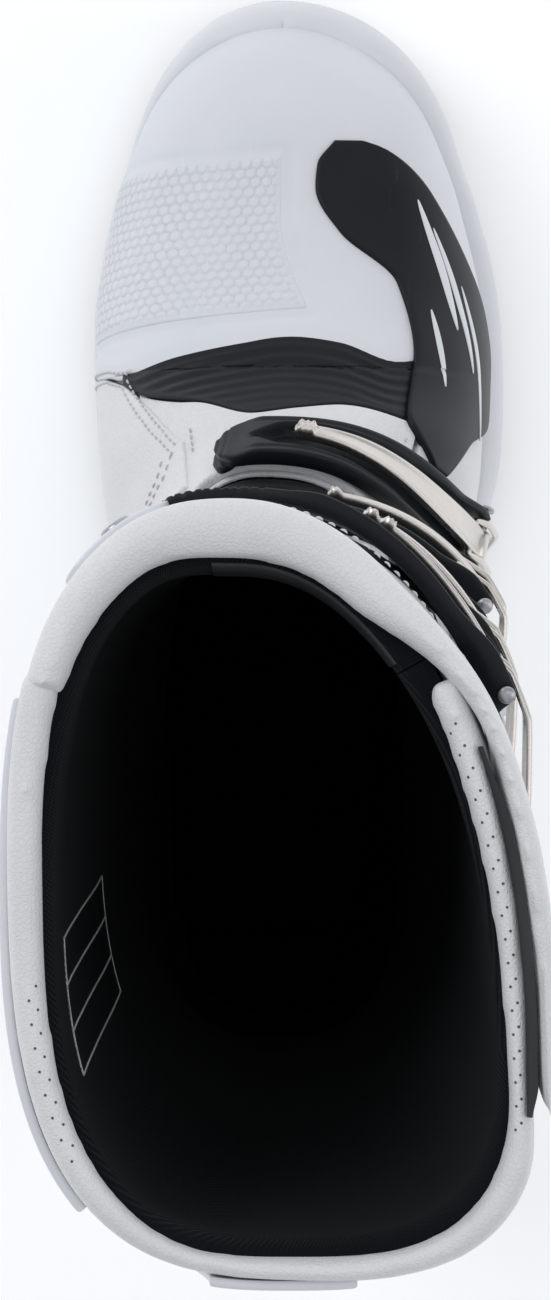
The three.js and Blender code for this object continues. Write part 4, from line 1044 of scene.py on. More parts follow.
medial_edge = [(127, 120.6), (121, 124.5), (114, 131), (106, 139.5), (104.5, 150), (104.5, 175), (104.5, 200)]
stitches("stitch_quarter_medial_1", [(u + 2.5, q + 1.2) for u, q in medial_edge], 3.45, "foot")
stitches("stitch_quarter_medial_2", [(u + 5.0, q + 2.6) for u, q in medial_edge], 3.45, "foot")
fork = [(145, 143.5), (141, 136.5), (137, 127.5), (131, 123.5)]
stitches("stitch_fork_medial_1", fork, 3.45, "foot")
stitches("stitch_fork_medial_2", [(u - 1.0, q + 3.2) for u, q in fork], 3.45, "foot")
stitches("stitch_quarter_lateral_1", [(128, 46), (135, 46), (145, 46)], 3.05, "foot")
stitches("stitch_quarter_lateral_2", [(103.5, 5), (103.5, -18)], 3.05, "foot")
stitches("stitch_tongue_1", [(125, 53), (136, 53), (148, 53)], 3.15, "foot")
stitches("stitch_tongue_2", [(125, 116.5), (134, 116.5)], 3.15, "foot")


# %% Heel counter and its ankle arms
def heel_top(q):
    around = (q + 180) % 360 - 180
    arm = np.maximum(0, 1 - ((around - 1) / 15) ** 2)
    other = np.maximum(0, 1 - ((q - 179) / 15) ** 2)
    return foot_edge(q) - 1 + 13 * np.maximum(arm, other)


def heel_height(u, theta, across, along):
    """Two raised ribs follow the top edge of the counter."""
    depth = heel_top(theta) - u
    return 3.0 + 0.5 * np.exp(-(((depth - 5) / 1.3) ** 2)) + 0.4 * np.exp(-(((depth - 11) / 1.3) ** 2))


heel = panel("heel_counter", (148.2, heel_top), (164, 376), 0.6, heel_height, step=1.5, radius=1.0)
dress(heel, WHITE_SHELL, "foot", "heel_shell", slot="white_shell")


# %% [markdown]
# ## Turned parts: bushes, screws and rivets
# A screw is turned on a lathe, so its mesh is a profile of (radius, height) carried round an
# axis. The socket is the same profile going down inside, with its rings pulled to six lobes.

# %% Lathe work
def frame_of(axis):
    axis = unit(np.asarray(axis, float))
    helper = np.array([0.0, 0.0, 1.0]) if abs(axis[2]) < 0.9 else np.array([1.0, 0.0, 0.0])
    side = unit(np.cross(helper, axis))
    return side, np.cross(axis, side), axis


def turned(name, seat, axis, profile, sides=32, lobes=None):
    """Rings of `sides` points for each (radius, height) of the profile, from its first point on the
    axis to its last. Radii listed in `lobes` become a six-lobed socket."""
    side, up, axis = frame_of(axis)
    angle = np.linspace(0, 2 * np.pi, sides, endpoint=False)
    rings = []
    for index, (radius, height) in enumerate(profile):
        r = np.full(sides, max(radius, 0.02))
        if lobes and index in lobes:
            r = r * (1 + 0.13 * np.cos(6 * angle))
        spokes = np.cos(angle)[:, None] * side + np.sin(angle)[:, None] * up
        rings.append(seat + axis * height + r[:, None] * spokes)
    return loft(name, rings)


def screw(name, seat, axis, radius, height, body, node, socket=0.45):
    """Domed head with a six-lobed socket."""
    r = radius
    profile = [(0.4 * r, -1.5), (0.45 * r, 0), (r, 0), (r, 0.35 * height), (0.93 * r, 0.72 * height),
               (0.75 * r, 0.93 * height), ((socket + 0.06) * r, height), (socket * r, 0.95 * height),
               (socket * r * 0.96, 0.35 * height), (0.1 * r, 0.3 * height)]
    return dress(turned(name, seat, axis, profile, lobes={6, 7, 8}), STEEL, body, node, slot="steel")


pivot_profile = [(3.2, -3.4), (6.0, -3.4), (6.4, -0.5), (8.6, 0), (9.0, 0.5), (8.8, 1.1), (8.1, 1.4),
                 (7.6, 1.2), (7.0, 0.7), (3.4, 0.6), (3.2, -2.0)]
for side_name, sign in (("lateral", 1), ("medial", -1)):
    seat = last(PIVOT_U, 0 if sign > 0 else 180) * [1, 0, 0] + PIVOT + np.array([sign * 6.2, 0, 0])
    ring = turned(f"ankle_bush_{side_name}", seat, (sign, 0, 0), pivot_profile, sides=48)
    dress(ring, BLACK_SHELL, "foot", f"pivot_bush_{side_name}", slot="black_shell")
    screw(f"ankle_screw_{side_name}", seat + np.array([sign * 0.7, 0, 0]), (sign, 0, 0), 6.9, 2.0, "foot",
          f"pivot_screw_{side_name}", socket=0.4)


# %% [markdown]
# ## The cuff
# Above the ankle the shells hang on the pivot screws. The rear parts ride on the cuff, and the
# front ones on the flap that opens for the foot. The ankle gap is closed by a soft black
# bellows, which is baked in place and rides on neither body.

# %% Bellows
def fold(u):
    """Concertina of sharp valleys and round hills."""
    return 1.5 * np.abs(np.sin(u * np.pi / 7.5)) - 0.9


def under_flap(q):
    return ramp(q, FLAP_LATERAL + 1, FLAP_LATERAL + 6) * (1 - ramp(q, FLAP_MEDIAL - 6, FLAP_MEDIAL - 1))


def bellows_top(q):
    around = q % 360
    return mix(cuff_edge(around), flap_edge(around), under_flap(around)) + 2


bellows = sleeve("ankle_bellows", (lambda q: foot_edge(q) - 4, bellows_top), lambda u, q: fold(u) - 3.2,
                 lambda u, q: fold(u) - 1.9, step=0.9, columns=180)
bellows.data.materials.append(BLACK_RUBBER)
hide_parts("front_bellows", "rear_bellows")
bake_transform(bellows)

# %% Lining and upper of the cuff
# Faces of the padded collar by theta: how far in it rolls and how far out it swells.
collar_inner = curve((0, -4.5), (30, -6.5), (60, -10.5), (90, -13), (120, -10.5), (150, -7), (180, -5.4),
                     (225, -5.5), (255, -2.6), (285, -2), (315, -3), (345, -3.5), (360, -4.5), (404, -7.5))
collar_face = curve((150, 2.8), (250, 2.8), (290, 4.2), (318, 5.8), (332, 5.2), (346, 1.8), (360, 1.2),
                    (404, 1.2))
REAR_START, REAR_END = FLAP_MEDIAL + 1.5, 360 + FLAP_LATERAL - 1.5


def lining_bottom(q):
    return cuff_edge(q) + 1


def lining_inside(u, theta, across, along):
    """Inner face of the lining: it thickens into the collar's roll and rounds over at its top."""
    roll = ramp(u, 335, 374) * np.minimum(collar_inner(theta % 360) + 4.6, 0)
    return INNER_TOP - LINING_WALL + roll + edge_drop(LINING_TOP + 3 - u, 4.0)


rear_lining = panel("cuff_lining_knit", (lining_bottom, LINING_TOP + 3), (REAR_START - 1.4, REAR_END + 3),
                    lining_inside, INNER_TOP, step=2.4, radius=0.8)
dress(rear_lining, LINING, "cuff", "cuff_lining", slot="black_mesh")
front_lining = panel("flap_lining_knit", (lambda q: flap_edge(q) + 2, LINING_TOP + 3),
                     (FLAP_LATERAL + 1.7, FLAP_MEDIAL + 0.2), lining_inside, INNER_TOP, step=2.4, radius=0.8)
dress(front_lining, LINING, "front_flap", "flap_liner", slot="black_mesh")
rear_upper = panel("cuff_upper_leather", (cuff_edge, COLLAR_BOTTOM - 1), (REAR_START, REAR_END), -UPPER_WALL,
                   0.1, step=2.5, radius=0.5)
dress(rear_upper, WHITE_LEATHER, "cuff", "cuff_upper", slot="white_leather")


# %% Side plates, calf shell and shin plate
def plate(name, centre, start, stop, top, low, relief, step=1.8):
    """Side plate that narrows to a round tab at the ankle pivot and steps out over the heel arm."""
    def tab(u):
        return 12 * np.sqrt(1 - np.clip((PIVOT_U - u) / 6, 0, 1) ** 2)

    def edge(limit_at, sign):
        return lambda u: mix(centre + sign * tab(u), limit_at, ramp(u, 184, 214))

    def lift(u, rest, raised):
        return mix(raised, rest, ramp(u, 188, 204))

    def high(u, theta, across, along):
        return lift(u, low + 2.4, 6.2) + relief(u, theta, across, along)

    def under(u, theta, across, along):
        return lift(u, low, 3.9)

    return panel(name, (PIVOT_U - 5.9, top), (edge(start, -1), edge(stop, 1)), under, high, step=step,
                 radius=1.1, by="u")


def lateral_relief(u, theta, across, along):
    """Long vertical facets, as on a moulded guard, and a rim bead."""
    facet = 0.5 * ramp(np.abs((theta + 8) / 16), 0.8, 1.2) * ramp(u, 214, 230)
    seam = 0.5 * np.exp(-(((u - 348) / 3) ** 2))
    crease = 0.4 * np.exp(-(((u - 262 + 0.4 * theta) / 1.2) ** 2))
    return facet + seam - crease


def medial_relief(u, theta, across, along):
    """Two long ribs down the plate and a bead under its top edge."""
    lean = (u - 300) * 0.05
    ribs = np.exp(-(((theta - 172 - lean) / 1.6) ** 2)) + np.exp(-(((theta - 206 + lean) / 1.6) ** 2))
    return 0.7 * ribs * ramp(u, 216, 235) * (1 - ramp(u, 355, 372)) + 0.4 * np.exp(-(((u - 374) / 1.8) ** 2))


lateral_plate = plate("calf_guard_lateral", 0, -52, 36, COLLAR_BOTTOM - 3, 0.8, lateral_relief)
dress(lateral_plate, WHITE_SHELL, "cuff", "lateral_calf_plate", slot="white_shell")
medial_plate = plate("calf_guard_medial", 180, 153, 229, COLLAR_TOP - 14, 3.4, medial_relief)
dress(medial_plate, WHITE_SHELL, "cuff", "medial_calf_plate", slot="white_shell")


def calf_side(low_u, high_u):
    return lambda u: mix(low_u, high_u, ramp(u, 300, 385))


def calf_relief(u, theta, across, along):
    """Back shell with three shallow ribs, like a spine."""
    ribs = sum(np.exp(-(((theta - centre) / 1.5) ** 2)) for centre in (256, 268, 280))
    return 5.8 + 0.6 * ribs * ramp(u, 215, 232) * (1 - ramp(u, 368, 382))


calf = panel("calf_guard_rear", (207, COLLAR_TOP - 8), (calf_side(231, 254), calf_side(305, 286)), 3.4,
             calf_relief, step=1.8, radius=1.1, by="u")
dress(calf, WHITE_SHELL, "cuff", "calf_shell", slot="white_shell")


def guard_relief(u, theta, across, along):
    """Diamond knurl of the rubber grip plate against the bike."""
    a, b = across + along, across - along
    diamond = np.minimum(np.abs((a / 7) % 1 - 0.5), np.abs((b / 7) % 1 - 0.5)) * 2
    rim = np.minimum(np.minimum(across, across[-1:] - across), np.minimum(along, along[:, -1:] - along))
    return 7.0 + 0.8 * ramp(diamond, 0.16, 0.3) * ramp(rim, 2, 4)


guard = panel("burn_guard_rubber", (232, 330), (168, 212), 5.9, guard_relief, step=1.0, radius=0.9)
dress(guard, BLACK_RUBBER, "cuff", "burn_guard", slot="black_rubber")


def shin_relief(u, theta, across, along):
    """Central keel and two creases that run up the shin."""
    keel = 0.8 * np.exp(-(((theta - 96) / 9) ** 2)) * ramp(u, 222, 250) * (1 - ramp(u, 335, 355))
    return 3.0 + keel - 0.5 * np.exp(-(((theta - 126) / 1.4) ** 2))


shin = panel("shin_guard", (lambda q: flap_edge(q) + 1, COLLAR_BOTTOM - 0.5), (FLAP_LATERAL, FLAP_MEDIAL),
             -UPPER_WALL, shin_relief, step=1.8, radius=1.1)
dress(shin, WHITE_SHELL, "front_flap", "shin_plate", slot="white_shell")
print("cuff shells made")

# %% [markdown]
# ## Padded collars
# The collar is foam under soft leather: a roll that is fat in the middle and pulls in at its
# seams. It starts as a ring of cross-sections, is remeshed into even small faces, and is then
# blown up as cloth with air pressure, so that it swells the way stuffed leather does.

# %% Inflating a pad
def mesh_points(mesh):
    flat = np.empty(len(mesh.vertices) * 3, np.float32)
    mesh.vertices.foreach_get("co", flat)
    return flat.reshape(-1, 3)


def evaluated_mesh(piece):
    graph = bpy.context.evaluated_depsgraph_get()
    return bpy.data.meshes.new_from_object(piece.evaluated_get(graph))


def inflate(piece, voxel=0.0035, pressure=4.0, frames=18, cap=0.0022):
    """Remesh, blow up as cloth, limit how far a point moved, then subdivide once."""
    remesh = piece.modifiers.new("even_faces", "REMESH")
    remesh.mode = "VOXEL"
    remesh.voxel_size = voxel
    piece.data = evaluated_mesh(piece)
    piece.modifiers.clear()
    start = mesh_points(piece.data)
    cloth = piece.modifiers.new("air", "CLOTH")
    cloth.settings.use_pressure = True
    cloth.settings.uniform_pressure_force = pressure
    cloth.settings.effector_weights.gravity = 0
    cloth.settings.tension_stiffness = 12
    cloth.settings.bending_stiffness = 1.5
    for frame_number in range(1, frames + 1):
        scene.frame_set(frame_number)
    moved = mesh_points(evaluated_mesh(piece)) - start
    piece.modifiers.clear()
    scene.frame_set(1)
    length = np.linalg.norm(moved, axis=1, keepdims=True)
    moved = moved * np.minimum(1, cap / np.maximum(length, 1e-9))
    applied = float(np.minimum(length, cap).max())
    piece.data.vertices.foreach_set("co", (start + moved).astype(np.float32).ravel())
    print(piece.name, "swelled by up to", round(applied / MM, 2), "mm after the cap")
    piece.data.shade_smooth()
    smooth = piece.modifiers.new("even_out", "SMOOTH")
    smooth.iterations = 4
    smooth.factor = 0.5
    detail = piece.modifiers.new("finer", "SUBSURF")
    detail.levels = detail.render_levels = 1
    return piece


# %% Collar sections
def collar_ring(theta, bottom, top, face, inner_low, inner_high):
    """Section of a padded roll in (u, height): swollen face, round top, and inner side."""
    rise = np.linspace(0, 1, 8)
    turn = np.linspace(0.1, 0.9, 9) * np.pi
    round_start = top - 6.5
    middle, half = (face + inner_high) / 2, (face - inner_high) / 2
    u = np.concatenate([mix(bottom, round_start, rise), round_start + 6.5 * np.sin(turn),
                        mix(round_start, LINING_TOP + 2.5, rise[::3]), mix(LINING_TOP, bottom, rise[::3])])
    h = np.concatenate([face + 0.5 * np.sin(rise * np.pi), middle + half * np.cos(turn),
                        inner_high + 0 * rise[::3], inner_low + 0 * rise[::3]])
    return last(u, theta) + normal(u, theta) * h[:, None]


def make_rear_collar():
    """Padded roll round the calf: one section of the roll at each step of theta, then blown up."""
    thetas = np.linspace(REAR_START - 2.6, REAR_END - 0.4, 150)
    rings = [collar_ring(np.full(1, q), COLLAR_BOTTOM, COLLAR_TOP - 3, float(collar_face(q)), -0.9,
                         float(collar_inner(q)) + 0.4) for q in thetas]
    return inflate(loft("collar_rear_pad", rings), voxel=0.0024)


def wrapped(q):
    """0 where the front collar laps outside the rear one, 1 where it is a full roll."""
    return ramp(q, FLAP_LATERAL - 12, FLAP_LATERAL + 15)


def make_front_collar():
    """Over the front it is a full roll; past the flap's edge it thins and laps outside the rear collar."""
    rings = []
    for q in np.linspace(-15, FLAP_MEDIAL + 2.2, 150):
        share = float(wrapped(q))
        outside = float(collar_face(q + 360)) + 1.7
        face = mix(outside + 2.6 + 1.6 * float(ramp(q, -15, 20)), 1.8 + float(ramp(q, 118, 148)), share)
        low = mix(outside, -0.9, share)
        high = mix(outside, float(collar_inner(q % 360)) + 0.4, share)
        rings.append(collar_ring(np.full(1, q), COLLAR_BOTTOM, COLLAR_TOP - 0.8, face, low, high))
    return inflate(loft("collar_front_pad", rings), voxel=0.002, cap=0.0016)


rear_collar = make_rear_collar()
dress(rear_collar, WHITE_LEATHER, "cuff", "collar_pad_rear", slot="white_leather")
front_collar = make_front_collar()
dress(front_collar, WHITE_LEATHER, "front_flap", "collar_pad_front", slot="white_leather")


# %% Collar seams and vents
def ring_path(u, start, stop, count=30):
    return [(u, q) for q in np.linspace(start, stop, count)]


stitches("stitch_collar_front", ring_path(COLLAR_BOTTOM + 5, 50, 145), 4.1, "front_flap")
stitches("stitch_collar_rear_1", ring_path(COLLAR_BOTTOM + 5, 156, 325), 4.1, "cuff")
VENT = finish("vent_hole_dark", (0.10, 0.10, 0.105), 0.8, wear=0.0, dust=0.0)


def punched(name, pad, theta, share, body, spacing=4.4, radius=0.5):
    """Row of punched holes. A ray is dropped on the padded collar at each step along theta, and a
    tiny dark disc is laid where it lands. `share` is 0 at the collar's inner face and 1 outside."""
    tree = BVHTree.FromObject(pad, bpy.context.evaluated_depsgraph_get())
    u, q = walk(ring_path(COLLAR_TOP - 6, *theta), spacing)
    height = mix(collar_inner(q % 360), collar_face(np.where(q < 150, q + 360, q)), share)
    cloud, faces = [], []
    angle = np.linspace(0, 2 * np.pi, 10, endpoint=False)
    for point in over(u, q, height):
        place, out, _, _ = tree.ray_cast(Vector((point[0], point[1], 0.45)), Vector((0, 0, -1)))
        if place is None:
            continue
        out = unit(np.array(out))
        side = unit(np.cross(out, [0.0, 1.0, 0.1]))
        rim = (np.cos(angle)[:, None] * side + np.sin(angle)[:, None] * np.cross(out, side)) * radius * MM
        first = len(cloud) * 20
        cloud.append(np.concatenate([np.array(place) + rim + out * 0.00008,
                                     np.array(place) + rim - out * 0.0005]))
        faces.append(tuple(range(first, first + 10)))
        faces.append(tuple(range(first + 19, first + 9, -1)))
        for k in range(10):
            nxt = (k + 1) % 10
            faces.append((first + k, first + 10 + k, first + 10 + nxt, first + nxt))
    points = np.concatenate(cloud)
    if signed_volume(points, [np.array([face[:4] for face in faces[2:12]])]) < 0:
        faces = [face[::-1] for face in faces]
    return dress(new_piece(name, points, faces, smooth=False), VENT, body)


for row, share in enumerate((0.3, 0.52), 1):
    punched(f"vent_row_lateral_{row}", rear_collar, (336 + 2 * row, 398), share, "cuff", 5.6, 0.34)
    punched(f"vent_row_medial_{row}", rear_collar, (192 + 2 * row, 222), share, "cuff", 5.6, 0.34)


def slit_outer(u, theta, across, along):
    """Outer face of the near-black sheet between the two collars, painted shade of their gap; it sinks at its
    ends.
    """
    ends = ramp(theta, -16, -6) * (1 - ramp(theta, 24, 33))
    return collar_face(theta + 360) + 1.5 * ends


# Near-black sheet under the lapping front collar: painted shade in the gap between the two collars.
slit = panel("collar_gap_painted_shade", (COLLAR_BOTTOM + 2, COLLAR_TOP - 3.5), (-15, 34),
             lambda u, theta, across, along: collar_face(theta + 360) - 1.2, slit_outer, step=1.5, radius=0.4)
dress(slit, BINDING, "front_flap")


# %% [markdown]
# Thin patches lie on the inner face of the lining.

# %% Binding and blank labels on the lining
def on_lining(name, u, theta, lift, material, body, sink=0.3):
    """Thin patch on the inner face of the lining."""
    return dress(panel(name, u, theta, lambda *at: lining_inside(*at) - lift,
                       lambda *at: lining_inside(*at) + sink,
                       step=1.5, radius=0.15), material, body)


on_lining("lining_binding", (COLLAR_TOP - 20, COLLAR_TOP - 11), (FLAP_LATERAL + 3, 97), 0.5, BINDING,
          "front_flap")


def label(name, u, theta, body):
    """Woven label without any print: dark patch, pale outline and two rules."""
    on_lining(f"{name}_patch", u, theta, 0.25, BINDING, body)
    wide = 0.35
    for number, at in enumerate((0.0, 0.34, 0.67, 1.0), 1):
        q = mix(theta[0], theta[1] - wide, at)
        on_lining(f"{name}_rule_{number}", u, (q, q + wide), 0.4, THREAD, body)
    for number, at in enumerate((u[0], u[1] - 0.4), 1):
        on_lining(f"{name}_edge_{number}", (at, at + 0.4), theta, 0.4, THREAD, body)


label("size_label", (270, 352), (190, 212), "cuff")
label("flap_label", (236, 312), (53, 64), "front_flap")

# %% [markdown]
# ## Shin frame
# A black lattice guards the shin: two bands that meet at the side, and curved ribs between them
# that leave three windows.

# %% Shin frame
FRAME_HIGH = 5.3
FRAME_TIP = 268


def frame_lower(q):
    return mix(FRAME_TIP - 6, 238, ramp(q, 31, 70))


def frame_upper(q):
    return mix(FRAME_TIP + 6, 322, ramp(q, 31, 84))


def band_height(u, theta, across, along):
    """Raised along both borders, like an I-beam."""
    rim = np.minimum(across, across[-1:] - across)
    return FRAME_HIGH - 0.7 * ramp(rim, 1.6, 2.8)


bands = {"shin_frame_lower": (frame_lower, lambda q: frame_lower(q) + 9, 31, 104),
         "shin_frame_upper": (lambda q: frame_upper(q) - 7, frame_upper, 31, 104)}
for name, (low_u, high_u, start, stop) in bands.items():
    band = panel(name, (low_u, high_u), (start, stop), 3.0, band_height, step=0.9, radius=0.8)
    dress(band, BLACK_SHELL, "front_flap", slot="black_shell")
    if name == "shin_frame_lower":
        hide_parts("shin_frame")
RIB_STARTS, RIB_WIDTH = (52, 72, 98), 6


def rib_height(u, theta, across, along):
    """The rib is 0.5 mm lower away from its ends."""
    return 5.1 - 0.5 * ramp(np.minimum(along, along[:, -1:] - along), 1.0, 2.2)


for number, at in enumerate(RIB_STARTS, 1):
    rib = panel(f"shin_frame_rib_{number}", (lambda q: frame_lower(q) + 5, lambda q: frame_upper(q) - 4),
                (at, at + RIB_WIDTH), 3.0, rib_height, step=1.0, radius=0.7)
    dress(rib, BLACK_SHELL, "front_flap", slot="black_shell")
print("shin frame made")

# %% [markdown]
# ## Buckles
# Each buckle is a tough strap whose end is a frame with two rails. A lever sits between the
# rails on a pin, and a wire link runs from the lever to a hook plate on the other side. They
# are worked out in the strap's own coordinates: theta along it, `w` across it, and a height.

# %% Strap coordinates
STRAP_WALL, STRAP_HALF_WIDTH = 2.0, 11.0
LEVER_HALF_WIDTH, LEVER_WALL = 4.0, 2.2
PIN_LIFT, PIN_RADIUS, WIRE_RADIUS = 5.2, 1.2, 0.9
LINK_REACH = 9
LINK_OFFSET = LEVER_HALF_WIDTH + 0.4 + WIRE_RADIUS
RAIL_INNER = LINK_OFFSET + WIRE_RADIUS + 0.84
PLATE_HEIGHT = SHELL_HIGH + 0.3
straps = {1: dict(path=curve((-16, 131), (2, 134), (22, 136.5), (50, 142), (84, 146), (120, 147)), base=5.2,
                  pin=24, tip=82, end=105.5, hook=3, back=-14, anchor=(99, 108), home="foot", catch="foot")}
for number, level, shorter in ((2, 218, 0), (3, 273, 6), (4, 324, 8)):
    straps[number] = dict(path=lambda q, u=level - FAN_Z + FAN_END: u + 0 * q, base=5.8, pin=37,
                          tip=74 - shorter,
                          end=109, hook=19.5, back=5, anchor=(106, 133), home="front_flap", catch="cuff")


def on_strap(strap, theta, w, h):
    """Point at theta along the strap, w mm across it and h mm above the last."""
    theta, w, h = np.broadcast_arrays(*(np.asarray(v, float) for v in (theta, w, h)))
    u = strap["path"](theta)
    scale = np.linalg.norm(tangents(u, theta)[0], axis=-1)
    u = u + w / scale
    return last(u, theta) + normal(u, theta) * h[..., None]


def pin_frame(strap):
    """Centre and axis of the lever pin, and mm per degree round the strap there."""
    u = strap["path"](np.array(float(strap["pin"])))
    along_u, along_theta = tangents(u, np.array(float(strap["pin"])))
    centre = last(u, strap["pin"]) + normal(u, strap["pin"]) * (strap["base"] + PIN_LIFT)
    return centre, unit(along_u), float(np.linalg.norm(along_theta))


def strap_slab(name, strap, theta, half, low, high, step=0.7, radius=0.6):
    """Closed slab along a strap. Its top is P(theta, w) = L(theta, w) + n * high(theta, w), with L a
    point of the last and n its normal; |w| stays under half(theta)."""
    q = np.linspace(*theta, 60)
    run = np.linalg.norm(np.diff(on_strap(strap, q, 0, strap["base"]), axis=0), axis=-1).sum()
    a, b = crowded(run, step * 1.2, radius), crowded(2 * half(q).max(), step, radius)
    tt = mix(theta[0], theta[1], a)[:, None] + 0 * b[None, :]
    ww = half(tt) * (2 * b[None, :] - 1)
    rim = np.minimum(half(tt) - np.abs(ww), np.minimum(a, 1 - a)[:, None] * run)
    top = limit(high, tt) if not callable(high) else high(tt, ww)
    bottom = limit(low, tt) if not callable(low) else low(tt, ww)
    top = np.maximum(top - edge_drop(rim, radius), bottom + 0.05)
    points = stacked(on_strap(strap, tt, ww, top), on_strap(strap, tt, ww, bottom))
    points = (points + ORIGIN) * MM
    faces = np.array(shell_faces(*tt.shape, False))
    if signed_volume(points, [faces]) < 0:
        faces = faces[:, ::-1]
    uv = np.stack([ww, a[:, None] * run + 0 * ww], -1).reshape(-1, 2) * MM
    return new_piece(name, points, faces.tolist(), np.concatenate([uv, uv]))


def round_end(q, start, stop, length):
    """1 along the piece and a half ellipse over the last `length` degrees at each end."""
    inside = np.clip(np.minimum(q - start, stop - q) / length, 0, 1)
    return np.sqrt(np.maximum(1 - (1 - inside) ** 2, 0.0025))


# %% [markdown]
# The strap is one moulding. Its height over the last changes across and along it.

# %% Strap with its receiver frame
def make_strap(number, strap):
    """Strap whose free end is a frame: a floor between two rails, with a bowl round the lever tip."""
    pin, tip, end = strap["pin"], strap["tip"], strap["end"]
    start = pin - 4.2

    def half(q):
        wide = STRAP_HALF_WIDTH * mix(0.86, 1.06, ramp(q, pin + 6, tip - 4))
        slim = mix(1, 0.76, ramp(q, tip + 10, tip + 26)) if number > 1 else 1
        return wide * slim * round_end(q, start, end, 7 if number > 1 else 10)

    def high(q, w):
        """Floor, two rails that rise to ears at the pin, and a bowl that sinks round the lever tip."""
        ear = mix(7.6, 4.6, ramp(q, pin + 4, pin + 13))
        frame = mix(ear, 3.2, ramp(q, tip + 9, tip + 17))
        inner = RAIL_INNER * mix(1.0, 0.2, ramp(q, tip + 2, tip + 13))
        wall = ramp(np.abs(w), inner - 0.2, inner + 0.9)
        closing = ramp(q, tip + 9, tip + 14)
        groove = 0.5 * np.exp(-(((np.abs(w) - half(q) + 2.4) / 0.5) ** 2))
        bowl = 1.1 * ramp(q, tip - 7, tip) * (1 - ramp(q, tip + 5, tip + 10))
        floor = STRAP_WALL - bowl
        ribs = 0.35 * (np.abs(((q - pin) * 0.45) % 1 - 0.5) > 0.32) * (q > tip + 18)
        solid = mix(floor, frame, np.maximum(wall, closing))
        return strap["base"] + solid - groove * wall * (1 - closing) - ribs

    body = f"strap_{number}_body"
    piece = strap_slab(f"buckle_strap_{number}", strap, (start, end), half, strap["base"], high, step=0.55,
                       radius=0.9)
    dress(piece, BLACK_SHELL, body, f"strap_{number}", slot="black_shell")
    return piece


# %% [markdown]
# The lever is a bent channel of aluminium. It turns on a riveted pin.

# %% Lever
def make_lever(number, strap):
    """Channel lever from the pin to its ridged tip, its boss, and the pin through the strap's rails."""
    pin, tip = strap["pin"], strap["tip"]
    low = strap["base"] + PIN_LIFT - 1
    degrees = (tip - pin) / 100

    def half(q):
        taper = mix(1, 0.86, ramp(q, tip - 30 * degrees, tip))
        return LEVER_HALF_WIDTH * taper * round_end(q, pin - 1.5, tip, 1.2)

    def high(q, w):
        """Channel section: two bright edges, a flat middle, a step and three ridges at the tip."""
        edge = 0.45 * ramp(np.abs(w), 2.2, 2.9)
        step_up = 1.0 * ramp(q, tip - 9 * degrees, tip - 7 * degrees)
        ridge = 0.4 * (np.cos((tip - q) / degrees * 2 * np.pi / 2.4) > 0.1) * (q > tip - 8 * degrees)
        bend = -0.9 * ramp(q, tip - 1.5 * degrees, tip)
        return low + LEVER_WALL - 0.3 + edge + step_up + ridge + bend

    body = f"lever_{number}_body"
    lever = strap_slab(f"buckle_lever_{number}", strap, (pin - 1.5, tip), half, low, high, step=0.5,
                       radius=0.5)
    dress(lever, BRIGHT, body, f"lever_{number}", slot="bright_metal")
    centre, axis, _ = pin_frame(strap)
    boss = [(0.4, -4.0), (2.3, -4.0), (2.6, -3.7), (2.6, 3.7), (2.3, 4.0), (0.4, 4.0)]
    dress(turned(f"lever_boss_{number}", centre, axis, boss, sides=28), BRIGHT, body)
    pin_profile = [(0.3, -11.6), (1.9, -11.6), (2.1, -11.2), (2.1, -10.7), (1.2, -10.6), (1.2, 10.6),
                   (2.1, 10.7), (2.1, 11.2), (1.9, 11.6), (0.3, 11.6)]
    rivet = turned(f"lever_rivet_{number}", centre, axis, pin_profile, sides=24)
    dress(rivet, STEEL, f"strap_{number}_body", f"lever_pin_{number}", slot="steel")


# %% [markdown]
# The link is one closed loop of wire: a route with cut corners, and a ring at each point.

# %% Wire link
def rounded_loop(corners, rounds=3):
    """Corner cutting: each pass replaces a corner by two points at a quarter of its sides."""
    loop = np.asarray(corners, float)
    for _ in range(rounds):
        nxt = np.roll(loop, -1, 0)
        loop = np.stack([0.75 * loop + 0.25 * nxt, 0.25 * loop + 0.75 * nxt], 1).reshape(-1, 3)
    return loop


def wire(name, route, radius, closed=True, sides=14):
    """Round bar along a route: each ring lies across the route's direction."""
    ahead = unit(np.roll(route, -1, 0) - np.roll(route, 1, 0)) if closed else unit(np.gradient(route, axis=0))
    up = unit(normal_hint(route))
    side = unit(np.cross(ahead, up))
    over_up = np.cross(side, ahead)
    angle = np.linspace(0, 2 * np.pi, sides, endpoint=False)
    spokes = np.cos(angle)[None, :, None] * side[:, None] + np.sin(angle)[None, :, None] * over_up[:, None]
    return loft(name, route[:, None] + spokes * radius, closed_path=closed)


def normal_hint(route):
    """Direction out of the boot, from its middle line to the route."""
    middle = np.array([0.0, route[:, 1].mean() - 40, route[:, 2].mean() - 20])
    return route - middle + np.array([0.01, 0.0, 0.01])


